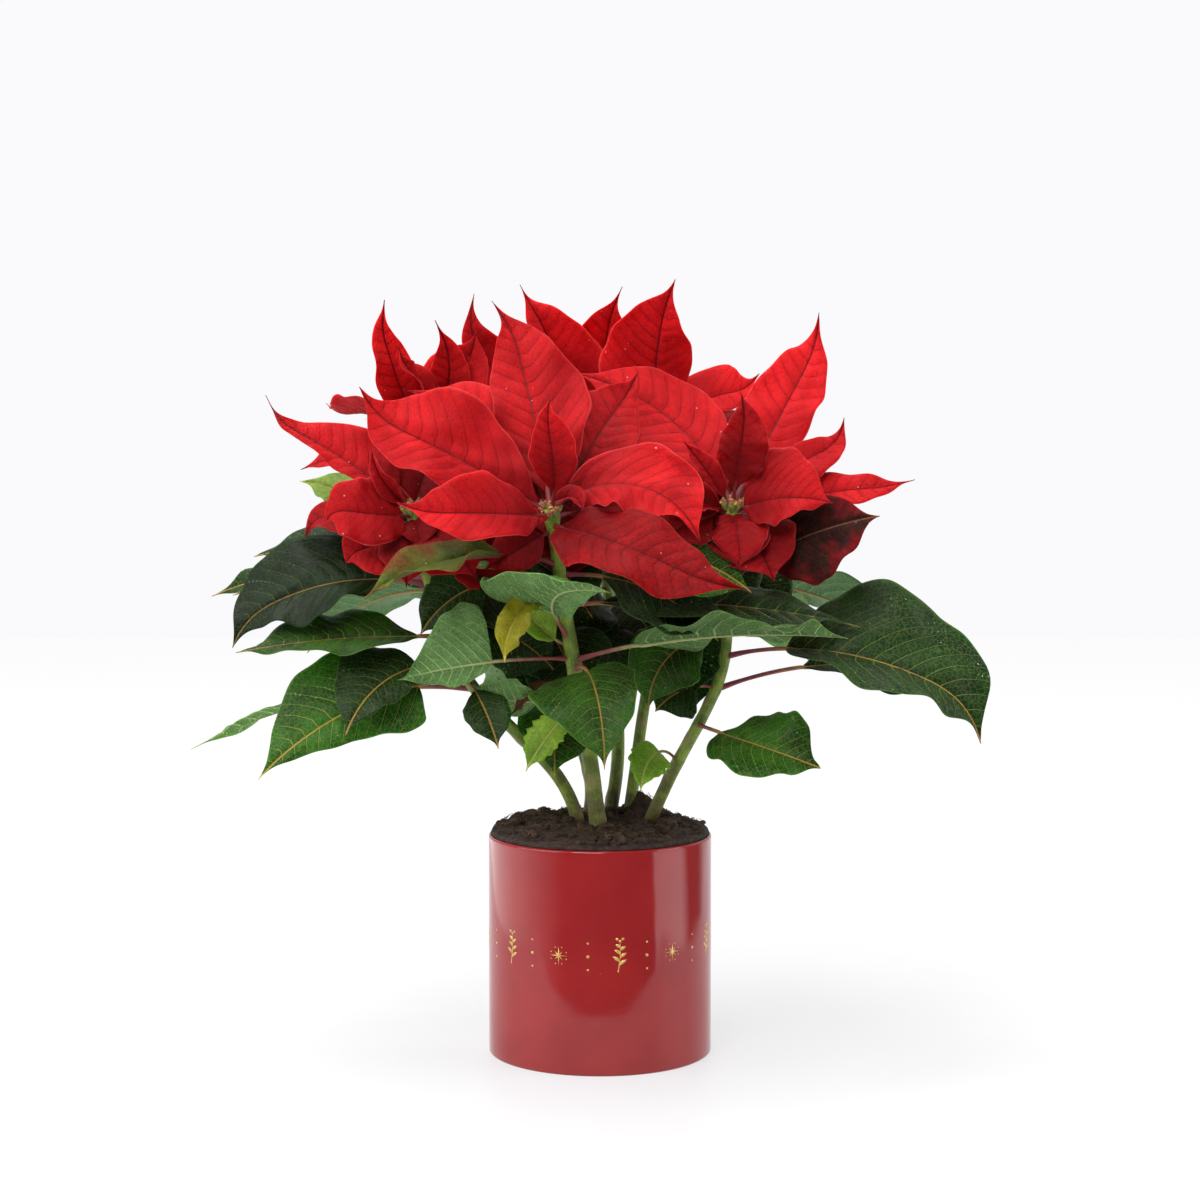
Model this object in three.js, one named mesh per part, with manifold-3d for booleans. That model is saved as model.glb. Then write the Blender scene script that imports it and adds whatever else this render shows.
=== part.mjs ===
// A poinsettia in a straight red pot. Millimetres, +Z up. The origin is the middle of the pot's
// underside, so the pot stands on the plane z = 0. The plant's front is its -Y side.
//
// Six stems rise from the soil and each carries one head of red bracts round a tuft of small
// flowers. Every leaf and large bract is one solid together with its stalk. The small inner
// bracts belong to the solid of their flowers, and the small leaves to the solid of their stem.

import * as THREE from 'three';
import { mergeVertices } from 'three/addons/utils/BufferGeometryUtils.js';
import Module from 'manifold-3d';

const wasm = await Module();
wasm.setup();

// ---- driving dimensions -------------------------------------------------------------------

const CLEARANCE = 0.3;              // between any two solids
const CRUMB = 0.01;                 // details smaller than this are smoothed away after a cut

const POT_DIAMETER = 120;
const POT_HEIGHT = 118;
const POT_WALL = 2.6;
const POT_FLOOR = 3;
const FOOT_BEVEL = 1.2;
const RIM_BEVEL = 0.6;
const POT_SIDES = 54;

const SOIL_RISE = 9;                // height of the heap over the rim, in the middle
const SOIL_LUMP = 1.3;              // height of its lumps
const SOIL_SIDES = 24;

const LEAF_THICKNESS = 0.8;
const RIB_DEPTH = 0.9;              // depth of the midrib under the blade, at its base
const RIB_TAPER = 0.55;             // share of that depth that is gone at the tip
const LEAST_HALF_WIDTH = 0.6;
const TIP_DRAW = 0.8;               // how far the last ring is drawn in to the tip
const STALK_RADIUS = 1.2;
const STALK_STEP = 10;              // length of a stalk that one ring covers
const BLADE_STATIONS = [0.03, 0.15, 0.3, 0.46, 0.63, 0.8, 0.93];
const SMALL_BLADE_STATIONS = [0.05, 0.25, 0.5, 0.75, 0.92];
const BLADE_CORNERS = 8;            // points in a ring of a blade
const BEND_STEPS = 6;               // straight steps that a blade's line is worked out from
const HEIGHT_HALVINGS = 24;         // halvings of a stem's line to find a height on it

const STEM_SIDES = 8;
const STEM_STEP = 19;               // length between two rings of a stem
const NECK_LENGTH = 14;             // top of each stem that belongs to the flower head
const TUFT_RADIUS = 5.2;            // the buds in the middle of a head
const TUFT_HEIGHT = 5;
const BUD_COUNT = 5;
const BUD_VALLEY = 0.78;            // radius between two buds, as a share of the tuft's radius

const COLOURS = {
  red: '#b3151d',
  maroon: '#5a1a1e',
  dark: '#26451f',
  green: '#35611f',
  light: '#6f8f5c',
  stem: '#6c8244',
  pot: '#8f2b2e',
  soil: '#2f2019',
};
const ROUGHNESS = { pot: 0.2, soil: 0.95, stem: 0.55, blade: 0.5 };

// ---- stems --------------------------------------------------------------------------------
// line: from under the soil to the middle of the head. foot and head: radius at its two ends.

const STEMS = {
  left: { foot: 3.6, head: 2.4,
    line: [[-8, -10, 112], [-22, -14, 150], [-70, -30, 205], [-90, -41, 260], [-97, -46, 295]] },
  front: { foot: 4.6, head: 3,
    line: [[0, -20, 112], [-5, -24, 160], [-14, -32, 213], [-21, -50, 263], [-25, -70, 295]] },
  right: { foot: 3.6, head: 2.4,
    line: [[20, -4, 110], [38, -6, 150], [64, -16, 205], [67, -26, 250], [69, -38, 297]] },
  back_left: { foot: 3, head: 2.2,
    line: [[-8, 8, 114], [-8, 12, 155], [-44, 34, 240], [-98, 53, 330]] },
  back: { foot: 3.8, head: 2.4,
    line: [[4, 18, 114], [10, 30, 165], [4, 54, 245], [-15, 78, 330]] },
  back_right: { foot: 3.4, head: 2.4,
    line: [[14, 8, 114], [22, 22, 170], [33, 42, 245], [31, 64, 330]] },
};

// ---- leaves and bracts ----------------------------------------------------------------------
// name: the piece's own name. joins: the piece that a small blade is part of. tone: its colour.
// from: height of the stalk's start on its stem. stalk, length: of the stalk and of the blade.
// heading: compass angle of the start in plan, 0 to the right, 90 to the back, 270 to the front.
// rise: angle of the start over the horizontal. sweep, bend: how much heading and rise have
//   changed at the tip. width: twice the greatest half width, left and right of the midrib, seen
//   from above with the tip ahead.
// lean: angle that the upper side faces towards the front, 0 straight up and 90 straight ahead.
//   aside: angle that it faces to the right.
// widest: where the blade is widest, 0 at its base and 1 at its tip. point: how drawn out the tip
//   is. fold: angle that the halves rise from the midrib. curl: how much more they rise towards
//   their margin.
// Two numbers in place of one are for the left and right half, and in lean for base and tip.

const BLADES = {
  front: [
    { name: 'bract_front_low_left', tone: 'red', from: 291, heading: 235, sweep: -62, rise: 5,
      bend: -6, stalk: 9, length: 79, width: [38, 42], lean: 60, widest: 0.45, fold: 12, curl: 10 },
    { name: 'bract_front_low_right', tone: 'red', from: 286, heading: 288, sweep: 74, rise: 1,
      bend: -34, stalk: 9, length: 120, width: [44, 46], lean: 53, widest: 0.42, point: 1.1 },
    { name: 'bract_front_right', tone: 'red', from: 295, heading: 0, sweep: -52, rise: 39,
      bend: -98, stalk: 9, length: 88, width: [50, 40], lean: 40, widest: 0.46, point: 1.1,
      curl: [30, 0] },
    { joins: 'flowers_front', from: 295, heading: 300, sweep: -110, rise: 55, bend: 35, stalk: 9,
      length: 52, width: [24, 26], lean: 72, point: 1.4, fold: 15, curl: 10 },
    { name: 'bract_front_tall', tone: 'red', from: 295, heading: 110, sweep: 5, rise: 64,
      bend: -12, stalk: 9, length: 118, width: [42, 60], lean: 78, widest: 0.4, point: 1.4 },
    { name: 'bract_front_up_right', tone: 'red', from: 292, heading: 52, rise: 50, bend: -14,
      stalk: 9, length: 94, width: [60, 44], lean: 72, widest: 0.4, point: 1.35 },
    { name: 'bract_front_up_left', tone: 'red', from: 292, heading: 188, sweep: -38, rise: 34,
      bend: -14, stalk: 7, length: 114, width: [42, 64], lean: 60, widest: 0.5, point: 1.2,
      curl: 4 },
    { name: 'bract_front_behind', tone: 'red', from: 289, heading: 120, sweep: 38, rise: 52,
      bend: -38, stalk: 9, length: 116, width: [34, 46], lean: 66, widest: 0.5, point: 1.2 },
    { name: 'leaf_turning_left', tone: 'maroon', from: 265, heading: 225, sweep: -58, rise: 20,
      bend: -56, stalk: 32, length: 80, width: [26, 28], lean: 30, widest: 0.5, point: 1.2,
      fold: 12 },
    { joins: 'stem_front', from: 253, heading: 198, sweep: -22, rise: 30, bend: -50, stalk: 34,
      length: 46, width: [14, 20], lean: -18, widest: 0.5, fold: 10 },
    { name: 'leaf_front_dark', tone: 'dark', from: 250, heading: 177, sweep: 8, rise: 30,
      bend: -92, stalk: 40, length: 46, width: [42, 30], lean: 72 },
    { name: 'leaf_right_dark', tone: 'dark', from: 244, heading: 346, sweep: 26, rise: 6,
      bend: -20, stalk: 18, length: 138, width: [42, 46], lean: 24, point: 1.2 },
    { name: 'leaf_front_pale', tone: 'light', from: 225, heading: 238, sweep: 88, rise: 42,
      bend: -48, stalk: 26, length: 78, width: [26, 80], lean: -22, aside: 12,
      widest: [0.35, 0.15], point: [1.1, 1.2], fold: [-20, 4] },
    { joins: 'stem_front', from: 221, heading: 200, rise: 25, bend: 38, stalk: 10, length: 32,
      width: [20, 24], lean: 53, widest: 0.4, fold: 25 },
    { name: 'leaf_right_pale', tone: 'light', from: 214, heading: 325, sweep: 40, rise: 18,
      bend: -24, stalk: 38, length: 112, width: [42, 46], lean: -20, widest: 0.4, point: 1.1 },
    { name: 'leaf_left_pale', tone: 'light', from: 215, heading: 215, sweep: -38, rise: 6,
      bend: -22, stalk: 46, length: 50, width: [66, 20], lean: -84, widest: [0.22, 0.4],
      point: [1.6, 1.2], fold: 4 },
    { name: 'leaf_front_low', tone: 'green', from: 209, heading: 284, rise: 22, bend: -112,
      stalk: 28, length: 64, width: [44, 66], lean: 66, widest: 0.3 },
    { joins: 'stem_front', from: 202, heading: 195, sweep: -12, rise: -35, bend: 70, stalk: 20,
      length: 38, width: [26, 26], lean: -53, fold: 6 },
    { joins: 'stem_front', from: 193, heading: 230, sweep: -35, rise: -28, bend: -35, stalk: 14,
      length: 36, width: [18, 22], lean: 53, widest: 0.4, fold: 10 },
  ],

  right: [
    { name: 'bract_right_low', tone: 'red', from: 291, heading: 318, sweep: 30, rise: 28,
      bend: -42, stalk: 8, length: 50, width: [56, 34], lean: 60, widest: 0.42, point: 1.2,
      curl: 4 },
    { name: 'bract_right_up', tone: 'red', from: 297, heading: 50, sweep: 6, rise: 47,
      bend: -2, stalk: 9, length: 122, width: [42, 36], lean: 66, point: 1.2 },
    { joins: 'flowers_right', from: 292, heading: 24, rise: 38, bend: -20, stalk: 9,
      length: 76, width: [22, 30], lean: 45, widest: 0.5, point: 1.2 },
    { joins: 'flowers_right', from: 287, heading: 10, sweep: -14, rise: 24, bend: -28, stalk: 9,
      length: 90, width: [24, 26], lean: 45, widest: 0.5 },
    { joins: 'flowers_right', from: 297, heading: 285, sweep: 60, rise: 70, bend: 20, stalk: 9,
      length: 50, width: [24, 30], lean: 78, widest: 0.4, point: 1.4, fold: 10 },
    { name: 'bract_right_up_left', tone: 'red', from: 294, heading: 118, sweep: 48, rise: 54,
      bend: -40, stalk: 9, length: 122, width: [46, 48], lean: 66, aside: 6, widest: 0.48,
      fold: 6 },
    { joins: 'flowers_right', from: 291, heading: 130, sweep: 30, rise: 32, bend: -30, stalk: 9,
      length: 76, width: [26, 26], lean: 45, widest: 0.5 },
    { joins: 'flowers_right', from: 287, heading: 210, sweep: -25, rise: 42, bend: -34, stalk: 9,
      length: 36, width: [34, 28], lean: 53, widest: 0.5, point: 1.2 },
    { joins: 'flowers_right', from: 288, heading: 276, rise: 5, bend: -88, stalk: 9,
      length: 30, width: [32, 28], lean: 72, point: 1.2, fold: 10 },
    { name: 'leaf_turning_right', tone: 'maroon', from: 254, heading: 318, sweep: 40, rise: 38,
      bend: -28, stalk: 26, length: 66, width: [44, 54], lean: 66, aside: -6, widest: 0.42,
      point: 1.2, fold: 6 },
    { joins: 'stem_right', from: 260, heading: 255, sweep: -60, rise: 30, bend: 20, stalk: 8,
      length: 40, width: [36, 26], lean: 45, widest: 0.4, point: 1.2, fold: 10 },
    { name: 'leaf_right_large', tone: 'dark', from: 215, heading: 325, sweep: 48, rise: 16,
      bend: -58, stalk: 36, length: 122, width: [98, 60], lean: 48, widest: 0.4, point: 1.15,
      fold: [4, 30] },
    { name: 'leaf_right_behind', tone: 'dark', from: 197, heading: 12, rise: 20,
      bend: -42, stalk: 48, length: 102, width: [56, 56], lean: 30, widest: 0.5 },
    { joins: 'stem_right', from: 198, heading: 218, sweep: -32, rise: 18, bend: -70, stalk: 12,
      length: 28, width: [36, 36], lean: 53, widest: 0.5 },
    { name: 'leaf_right_low', tone: 'green', from: 178, heading: 284, sweep: 74, rise: 0,
      bend: -22, stalk: 25, length: 62, width: [50, 44], lean: 48, widest: [0.55, 0.35],
      point: 0.9, fold: 4 },
    { joins: 'stem_right', from: 157, heading: 234, sweep: 10, rise: 50, bend: -130, stalk: 20,
      length: 26, width: [20, 20], lean: 66, widest: 0.35, point: 1.2, fold: 10 },
  ],

  left: [
    { name: 'bract_left_out', tone: 'red', from: 293, heading: 172, sweep: -10, rise: 40,
      bend: -18, stalk: 9, length: 92, width: [16, 44], lean: 53, widest: 0.32, point: 1.7 },
    { name: 'bract_left_round', tone: 'red', from: 290, heading: 240, sweep: -66, rise: 4,
      bend: 4, stalk: 9, length: 46, width: [36, 38], lean: 66, point: 0.6, fold: 6 },
    { joins: 'flowers_left', from: 294, heading: 245, sweep: -80, rise: 18, bend: 66, stalk: 9,
      length: 34, width: [12, 14], lean: 80, aside: -20, widest: 0.4, fold: 40 },
    { name: 'bract_left_low', tone: 'red', from: 287, heading: 226, sweep: -40, rise: -28,
      bend: 14, stalk: 9, length: 36, width: [36, 34], lean: 66, aside: -6, widest: 0.5,
      point: 0.8 },
    { joins: 'flowers_left', from: 285, heading: 158, sweep: 6, rise: 14, bend: -24, stalk: 9,
      length: 60, width: [30, 28], lean: 37, widest: 0.5, point: 1.1 },
    { joins: 'stem_left', from: 268, heading: 118, sweep: 62, rise: 38, bend: -32, stalk: 34,
      length: 48, width: [24, 24], lean: 30, widest: 0.5 },
    { joins: 'stem_left', from: 264, heading: 140, sweep: 35, rise: 16, bend: -28, stalk: 34,
      length: 70, width: [40, 40], lean: 30, widest: 0.55 },
    { joins: 'stem_left', from: 261, heading: 132, sweep: 42, rise: 2, bend: -18, stalk: 28,
      length: 98, width: [50, 50], lean: 30, widest: 0.5 },
    { name: 'leaf_left_large', tone: 'dark', from: 254, heading: 176, sweep: 12, rise: 14,
      bend: -56, stalk: 18, length: 98, width: [46, 66], lean: 45, aside: -6, point: 1.2 },
    { name: 'leaf_left_under', tone: 'green', from: 227, heading: 200, sweep: -14, rise: 4,
      bend: -14, stalk: 14, length: 96, width: [40, 50], lean: 24 },
    { name: 'leaf_left_dark', tone: 'dark', from: 211, heading: 206, sweep: 28, rise: 14,
      bend: -74, stalk: 24, length: 60, width: [30, 50], lean: 56, aside: -6, widest: 0.38,
      point: 1.3, fold: 6 },
    { name: 'leaf_left_low', tone: 'green', from: 205, heading: 212, sweep: -36, rise: 0,
      bend: -48, stalk: 28, length: 98, width: [44, 70], lean: 60, aside: -12,
      widest: [0.12, 0.36], point: [1.1, 1.3], fold: [0, 6], curl: [-30, 0] },
    { name: 'leaf_left_long', tone: 'light', from: 199, heading: 170, sweep: 18, rise: 4,
      bend: -32, stalk: 34, length: 122, width: [34, 54], lean: [37, -37], widest: 0.35,
      point: 1.5, fold: 6 },
  ],

  back_left: [
    { name: 'bract_back_left_tall', tone: 'red', from: 328, heading: 232, sweep: 18, rise: 52,
      bend: 10, stalk: 9, length: 80, width: [30, 22], lean: 78, aside: 18, widest: 0.42,
      point: 1.5, fold: 20 },
    { joins: 'flowers_back_left', from: 323, heading: 285, sweep: -65, rise: 72, bend: -58,
      stalk: 9, length: 66, width: [14, 20], lean: 53, widest: 0.5, point: 1.5, fold: 15 },
    { joins: 'flowers_back_left', from: 326, heading: 345, sweep: -120, rise: 60, bend: 4,
      stalk: 9, length: 68, width: [26, 26], lean: 72, widest: 0.4, point: 1.6, fold: 15 },
    { name: 'bract_back_left_out', tone: 'red', from: 326, heading: 148, sweep: -16, rise: 40,
      bend: -62, stalk: 8, length: 78, width: [44, 44], lean: -6, aside: 20, widest: 0.42,
      fold: 10 },
    { name: 'bract_back_left_rear', tone: 'red', from: 323, heading: 74, rise: 38, bend: -60,
      stalk: 8, length: 80, width: [42, 42], lean: -17, widest: 0.42, fold: 10 },
    { name: 'leaf_rear_far_left', tone: 'dark', from: 230, heading: 146, sweep: -6, rise: 26,
      bend: -70, stalk: 64, length: 116, width: [62, 62], lean: -12, aside: 10, widest: 0.4,
      point: 1.2, fold: 10 },
    { name: 'leaf_rear_left', tone: 'green', from: 212, heading: 118, sweep: -14, rise: 26,
      bend: -70, stalk: 50, length: 108, width: [62, 62], lean: -17, aside: 6, widest: 0.4,
      point: 1.2, fold: 10 },
  ],

  back: [
    { name: 'bract_back_leaning', tone: 'red', from: 324, heading: 212, sweep: 10, rise: 28,
      bend: 34, stalk: 9, length: 108, width: [26, 36], lean: 66, aside: 6, widest: 0.42,
      fold: 10 },
    { name: 'bract_back_horn_left', tone: 'red', from: 330, heading: 258, sweep: -28, rise: 62,
      bend: -18, stalk: 9, length: 92, width: [40, 50], lean: 72, widest: 0.42, point: 1.7,
      fold: 10 },
    { name: 'bract_back_horn_right', tone: 'red', from: 324, heading: 345, sweep: -80, rise: 77,
      bend: -28, stalk: 9, length: 90, width: [50, 34], lean: 72, widest: 0.42, point: 1.7,
      fold: 10 },
    { name: 'bract_back_rear_left', tone: 'red', from: 324, heading: 112, sweep: -8, rise: 36,
      bend: -56, stalk: 10, length: 86, width: [46, 46], lean: -17, widest: 0.42, fold: 10 },
    { name: 'bract_back_rear_right', tone: 'red', from: 321, heading: 68, sweep: 12, rise: 30,
      bend: -50, stalk: 9, length: 84, width: [46, 46], lean: -17, widest: 0.42, fold: 10 },
    { name: 'leaf_rear_middle', tone: 'dark', from: 240, heading: 84, sweep: 12, rise: 28,
      bend: -70, stalk: 38, length: 110, width: [64, 64], lean: -17, widest: 0.4, point: 1.2,
      fold: 10 },
    { joins: 'stem_back', from: 186, heading: 228, sweep: -38, rise: 36, bend: -82, stalk: 24,
      length: 56, width: [50, 50], lean: 45 },
  ],

  back_right: [
    { name: 'bract_back_right_tall', tone: 'red', from: 330, heading: 262, sweep: 30, rise: 62,
      bend: -12, stalk: 9, length: 92, width: [62, 40], lean: 72, widest: 0.42 },
    { name: 'bract_back_right_low', tone: 'red', from: 327, heading: 358, sweep: -28, rise: 58,
      bend: -68, stalk: 9, length: 64, width: [38, 30], lean: 53, widest: 0.5, point: 1.2,
      fold: 10 },
    { name: 'bract_back_right_rear', tone: 'red', from: 324, heading: 60, rise: 36, bend: -54,
      stalk: 8, length: 82, width: [44, 44], lean: -17, widest: 0.42, fold: 10 },
    { name: 'bract_back_right_out', tone: 'red', from: 321, heading: 22, rise: 34, bend: -48,
      stalk: 8, length: 92, width: [44, 44], lean: -6, aside: -6, widest: 0.42, fold: 10 },
    { name: 'leaf_rear_right', tone: 'green', from: 222, heading: 49, sweep: -2, rise: 26,
      bend: -72, stalk: 46, length: 106, width: [60, 60], lean: -17, aside: -6, widest: 0.4,
      point: 1.2, fold: 10 },
    { name: 'leaf_rear_far_right', tone: 'dark', from: 240, heading: 22, sweep: -4, rise: 20,
      bend: -62, stalk: 48, length: 112, width: [58, 58], lean: -12, aside: -10, widest: 0.4,
      point: 1.2, fold: 10 },
    { joins: 'stem_back_right', from: 192, heading: 300, rise: 62, bend: -140, stalk: 24,
      length: 40, width: [38, 38], lean: 53 },
  ],
};

const USUAL = { sweep: 0, bend: 0, aside: 0, widest: 0.45, point: 1.3, fold: 8, curl: 0 };

// ---- solids -------------------------------------------------------------------------------

/** A closed three.js geometry as a manifold solid. */
function solidFrom(geometry) {
  geometry.deleteAttribute('normal');
  geometry.deleteAttribute('uv');
  const merged = mergeVertices(geometry, 1e-4);
  return new wasm.Manifold(new wasm.Mesh({
    numProp: 3,
    vertProperties: merged.attributes.position.array,
    triVerts: new Uint32Array(merged.index.array),
  }));
}

/** The largest single body of a solid; trimmed-off crumbs are dropped. */
function mainBody(solid) {
  return solid.simplify(CRUMB).decompose().sort((a, b) => b.volume() - a.volume())[0];
}

/** A manifold solid back as a three.js geometry. */
function geometryFrom(solid) {
  const mesh = solid.getMesh();
  const geometry = new THREE.BufferGeometry();
  geometry.setAttribute('position', new THREE.BufferAttribute(mesh.vertProperties, 3));
  geometry.setIndex(new THREE.BufferAttribute(mesh.triVerts, 1));
  geometry.computeVertexNormals();
  return geometry;
}

/** Turns the diagonals on the second half of a cylinder's sides to mirror those of the first. */
function mirrorDiagonals(cylinder, rows, sides) {
  const corners = cylinder.index.array;
  for (let quad = (sides / 2) * (rows - 1); quad < sides * (rows - 1); quad += 1) {
    const [a, b, d, , c] = corners.slice(6 * quad, 6 * quad + 6);
    corners.set([a, b, c, a, c, d], 6 * quad);
  }
}

/**
 * A closed cylinder whose rings are moved to given places. ringPoint(row, side) returns the
 * point of one ring, and each end is closed by a fan round the middle of its ring. In a plate,
 * the first half of the sides is its upper face and both faces bend along the same diagonals.
 */
function loft(rows, sides, ringPoint, isPlate = false) {
  const shape = new THREE.CylinderGeometry(1, 1, rows - 1, sides, rows - 1);
  if (isPlate) mirrorDiagonals(shape, rows, sides);
  const position = shape.attributes.position;
  const corner = new THREE.Vector3();
  for (let i = 0; i < position.count; i += 1) {
    corner.fromBufferAttribute(position, i);
    const row = Math.round(corner.y + (rows - 1) / 2);
    const isCapMiddle = Math.hypot(corner.x, corner.z) < 0.5;
    if (isCapMiddle) {
      corner.set(0, 0, 0);
      for (let side = 0; side < sides; side += 1) corner.add(ringPoint(row, side));
      corner.divideScalar(sides);
    } else {
      const turn = Math.atan2(corner.x, corner.z) / (2 * Math.PI);
      corner.copy(ringPoint(row, (Math.round(turn * sides) + sides) % sides));
    }
    position.setXYZ(i, corner.x, corner.y, corner.z);
  }
  return solidFrom(shape);
}

/** A smooth curve through points. */
function curveThrough(points) {
  return new THREE.CatmullRomCurve3(points, false, 'catmullrom', 0.5);
}

/** The line of a stem, from under the soil to the middle of its head. */
function stemLine(stem) {
  return curveThrough(stem.line.map((point) => new THREE.Vector3(...point)));
}

/** The point of a stem's line at a height. */
function pointAtHeight(stem, height) {
  const line = stemLine(stem);
  let [low, high] = [0, 1];
  for (let halving = 0; halving < HEIGHT_HALVINGS; halving += 1) {
    const middle = (low + high) / 2;
    if (line.getPointAt(middle).z < height) low = middle;
    else high = middle;
  }
  return line.getPointAt(low);
}

// ---- blades -------------------------------------------------------------------------------

/** A number as the pair [first, second]; a pair stays as it is. */
const pair = (value) => (Array.isArray(value) ? value : [value, value]);

/** The direction with a heading and a rise, both in degrees. */
function directionOf(heading, rise) {
  const [turn, lift] = [heading, rise].map(THREE.MathUtils.degToRad);
  return new THREE.Vector3(
    Math.cos(lift) * Math.cos(turn), Math.cos(lift) * Math.sin(turn), Math.sin(lift),
  );
}

/** The line of a blade and its stalk: it leaves the stem and turns evenly up to its tip. */
function bladeLine(blade, stem) {
  const step = (blade.stalk + blade.length) / BEND_STEPS;
  const points = [pointAtHeight(stem, blade.from)];
  for (let k = 0; k < BEND_STEPS; k += 1) {
    const share = (k + 0.5) / BEND_STEPS;
    const direction = directionOf(
      blade.heading + blade.sweep * share, blade.rise + blade.bend * share,
    );
    points.push(points[k].clone().addScaledVector(direction, step));
  }
  return curveThrough(points);
}

/** Width of a blade at u, as a share of its greatest width: a wedge at the base, then a point. */
function bladeOutline(u, widest, point) {
  const rise = (point * widest) / (1 - widest);
  return (u / widest) ** rise * ((1 - u) / (1 - widest)) ** point;
}

/** The direction that a blade's upper side faces at u, before it is squared to the midrib. */
function bladeFace(blade, u) {
  const [base, tip] = pair(blade.lean);
  const lean = THREE.MathUtils.degToRad(base + (tip - base) * u);
  const aside = THREE.MathUtils.degToRad(blade.aside);
  return new THREE.Vector3(Math.sin(aside), -Math.sin(lean), Math.cos(lean));
}

/** Middle, upper side and right side of a blade at a share of its line's length. */
function bladeFrame(blade, line, share, u) {
  const direction = line.getTangentAt(share);
  const up = bladeFace(blade, u);
  up.addScaledVector(direction, -up.dot(direction)).normalize();
  return { middle: line.getPointAt(share), up, right: direction.cross(up) };
}

/** The rings of a stalk, from the middle of the stem to the start of the blade. */
function stalkRings(blade, line, start) {
  const rows = Math.max(1, Math.min(3, Math.round(blade.stalk / STALK_STEP)));
  return [...Array(rows).keys()].map((row) => {
    const { middle, up, right } = bladeFrame(blade, line, (start * row) / rows, 0);
    return [...Array(BLADE_CORNERS).keys()].map((side) => {
      const turn = Math.PI - (2 * Math.PI * side) / BLADE_CORNERS;
      return middle.clone()
        .addScaledVector(right, STALK_RADIUS * Math.cos(turn))
        .addScaledVector(up, STALK_RADIUS * Math.sin(turn));
    });
  });
}

/** One half of a blade at u: the place halfway to its margin and the place of its margin. */
function bladeHalf(blade, frame, side, u) {
  const [widest, point, fold, curl] = ['widest', 'point', 'fold', 'curl']
    .map((key) => pair(blade[key])[side]);
  const outward = frame.right.clone().multiplyScalar(side ? 1 : -1);
  const reach = (blade.width[side] / 2) * bladeOutline(u, widest, point);
  const stride = Math.max(reach, LEAST_HALF_WIDTH) / 2;
  const step = (from, degrees) => {
    const angle = THREE.MathUtils.degToRad(degrees);
    return from.clone()
      .addScaledVector(outward, stride * Math.cos(angle))
      .addScaledVector(frame.up, stride * Math.sin(angle));
  };
  const inner = step(frame.middle, fold + 0.25 * curl);
  return { inner, edge: step(inner, fold + 0.75 * curl) };
}

/** One leaf or bract with its stalk: a folded, pointed plate with a rib under its middle. */
function bladeSolid(blade, stem) {
  const line = bladeLine(blade, stem);
  const start = blade.stalk / (blade.stalk + blade.length);
  const rings = stalkRings(blade, line, start);

  for (const u of blade.joins ? SMALL_BLADE_STATIONS : BLADE_STATIONS) {
    const frame = bladeFrame(blade, line, start + (1 - start) * u, u);
    const left = bladeHalf(blade, frame, 0, u);
    const right = bladeHalf(blade, frame, 1, u);
    const lift = (at, height) => at.clone().addScaledVector(frame.up, height);
    const half = LEAF_THICKNESS / 2;
    const rib = RIB_DEPTH * (1 - RIB_TAPER * u);
    rings.push([
      left.edge, lift(left.inner, half), lift(frame.middle, half), lift(right.inner, half),
      right.edge, lift(right.inner, -half), lift(frame.middle, -rib), lift(left.inner, -half),
    ]);
  }

  const tip = line.getPointAt(1);
  const lastRing = rings[rings.length - 1];
  rings.push(lastRing.map((corner) => corner.clone().lerp(tip, TIP_DRAW)));
  return loft(rings.length, BLADE_CORNERS, (row, side) => rings[row][side], true);
}

// ---- stems and flowers --------------------------------------------------------------------

/** A round rod along part of a stem's line, from share a to share b, grown by extra. */
function stemRod(stem, a, b, extra = 0) {
  const line = stemLine(stem);
  const rows = Math.max(3, Math.round((line.getLength() * (b - a)) / STEM_STEP) + 1);
  return loft(rows, STEM_SIDES, (row, side) => {
    const share = a + ((b - a) * row) / (rows - 1);
    const direction = line.getTangentAt(share);
    const across = new THREE.Vector3(0, 1, 0).cross(direction).normalize();
    const upright = new THREE.Vector3().crossVectors(direction, across);
    const turn = (2 * Math.PI * side) / STEM_SIDES;
    const radius = THREE.MathUtils.lerp(stem.foot, stem.head, share) + extra;
    return line.getPointAt(share)
      .addScaledVector(across, radius * Math.cos(turn))
      .addScaledVector(upright, radius * Math.sin(turn));
  });
}

/** The tuft of flower buds at the end of a stem as one lobed knob, grown by extra. */
function budTuft(stem, extra = 0) {
  const line = stemLine(stem);
  const [end, direction] = [line.getPointAt(1), line.getTangentAt(1)];
  const toStem = new THREE.Quaternion().setFromUnitVectors(new THREE.Vector3(0, 0, 1), direction);
  const sides = 2 * BUD_COUNT;
  const profile = [[0.45, -0.6], [1, 0], [0.95, 0.6], [0.5, 1]];   // shares of radius and height
  return loft(profile.length, sides, (row, side) => {
    const turn = (2 * Math.PI * side) / sides;
    const lobe = side % 2 ? BUD_VALLEY : 1;
    const radius = TUFT_RADIUS * profile[row][0] * lobe + extra;
    const height = TUFT_HEIGHT * profile[row][1] + (row ? extra : -extra);
    return new THREE.Vector3(radius * Math.cos(turn), radius * Math.sin(turn), height)
      .applyQuaternion(toStem)
      .add(end);
  });
}

// ---- pot and soil -------------------------------------------------------------------------

/** A solid turned round the Z axis from its profile of [radius, height] points. */
function turned(profile, sides) {
  const points = profile.map(([radius, z]) => new THREE.Vector2(radius, z));
  return new THREE.LatheGeometry(points, sides).rotateX(Math.PI / 2);
}

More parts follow.
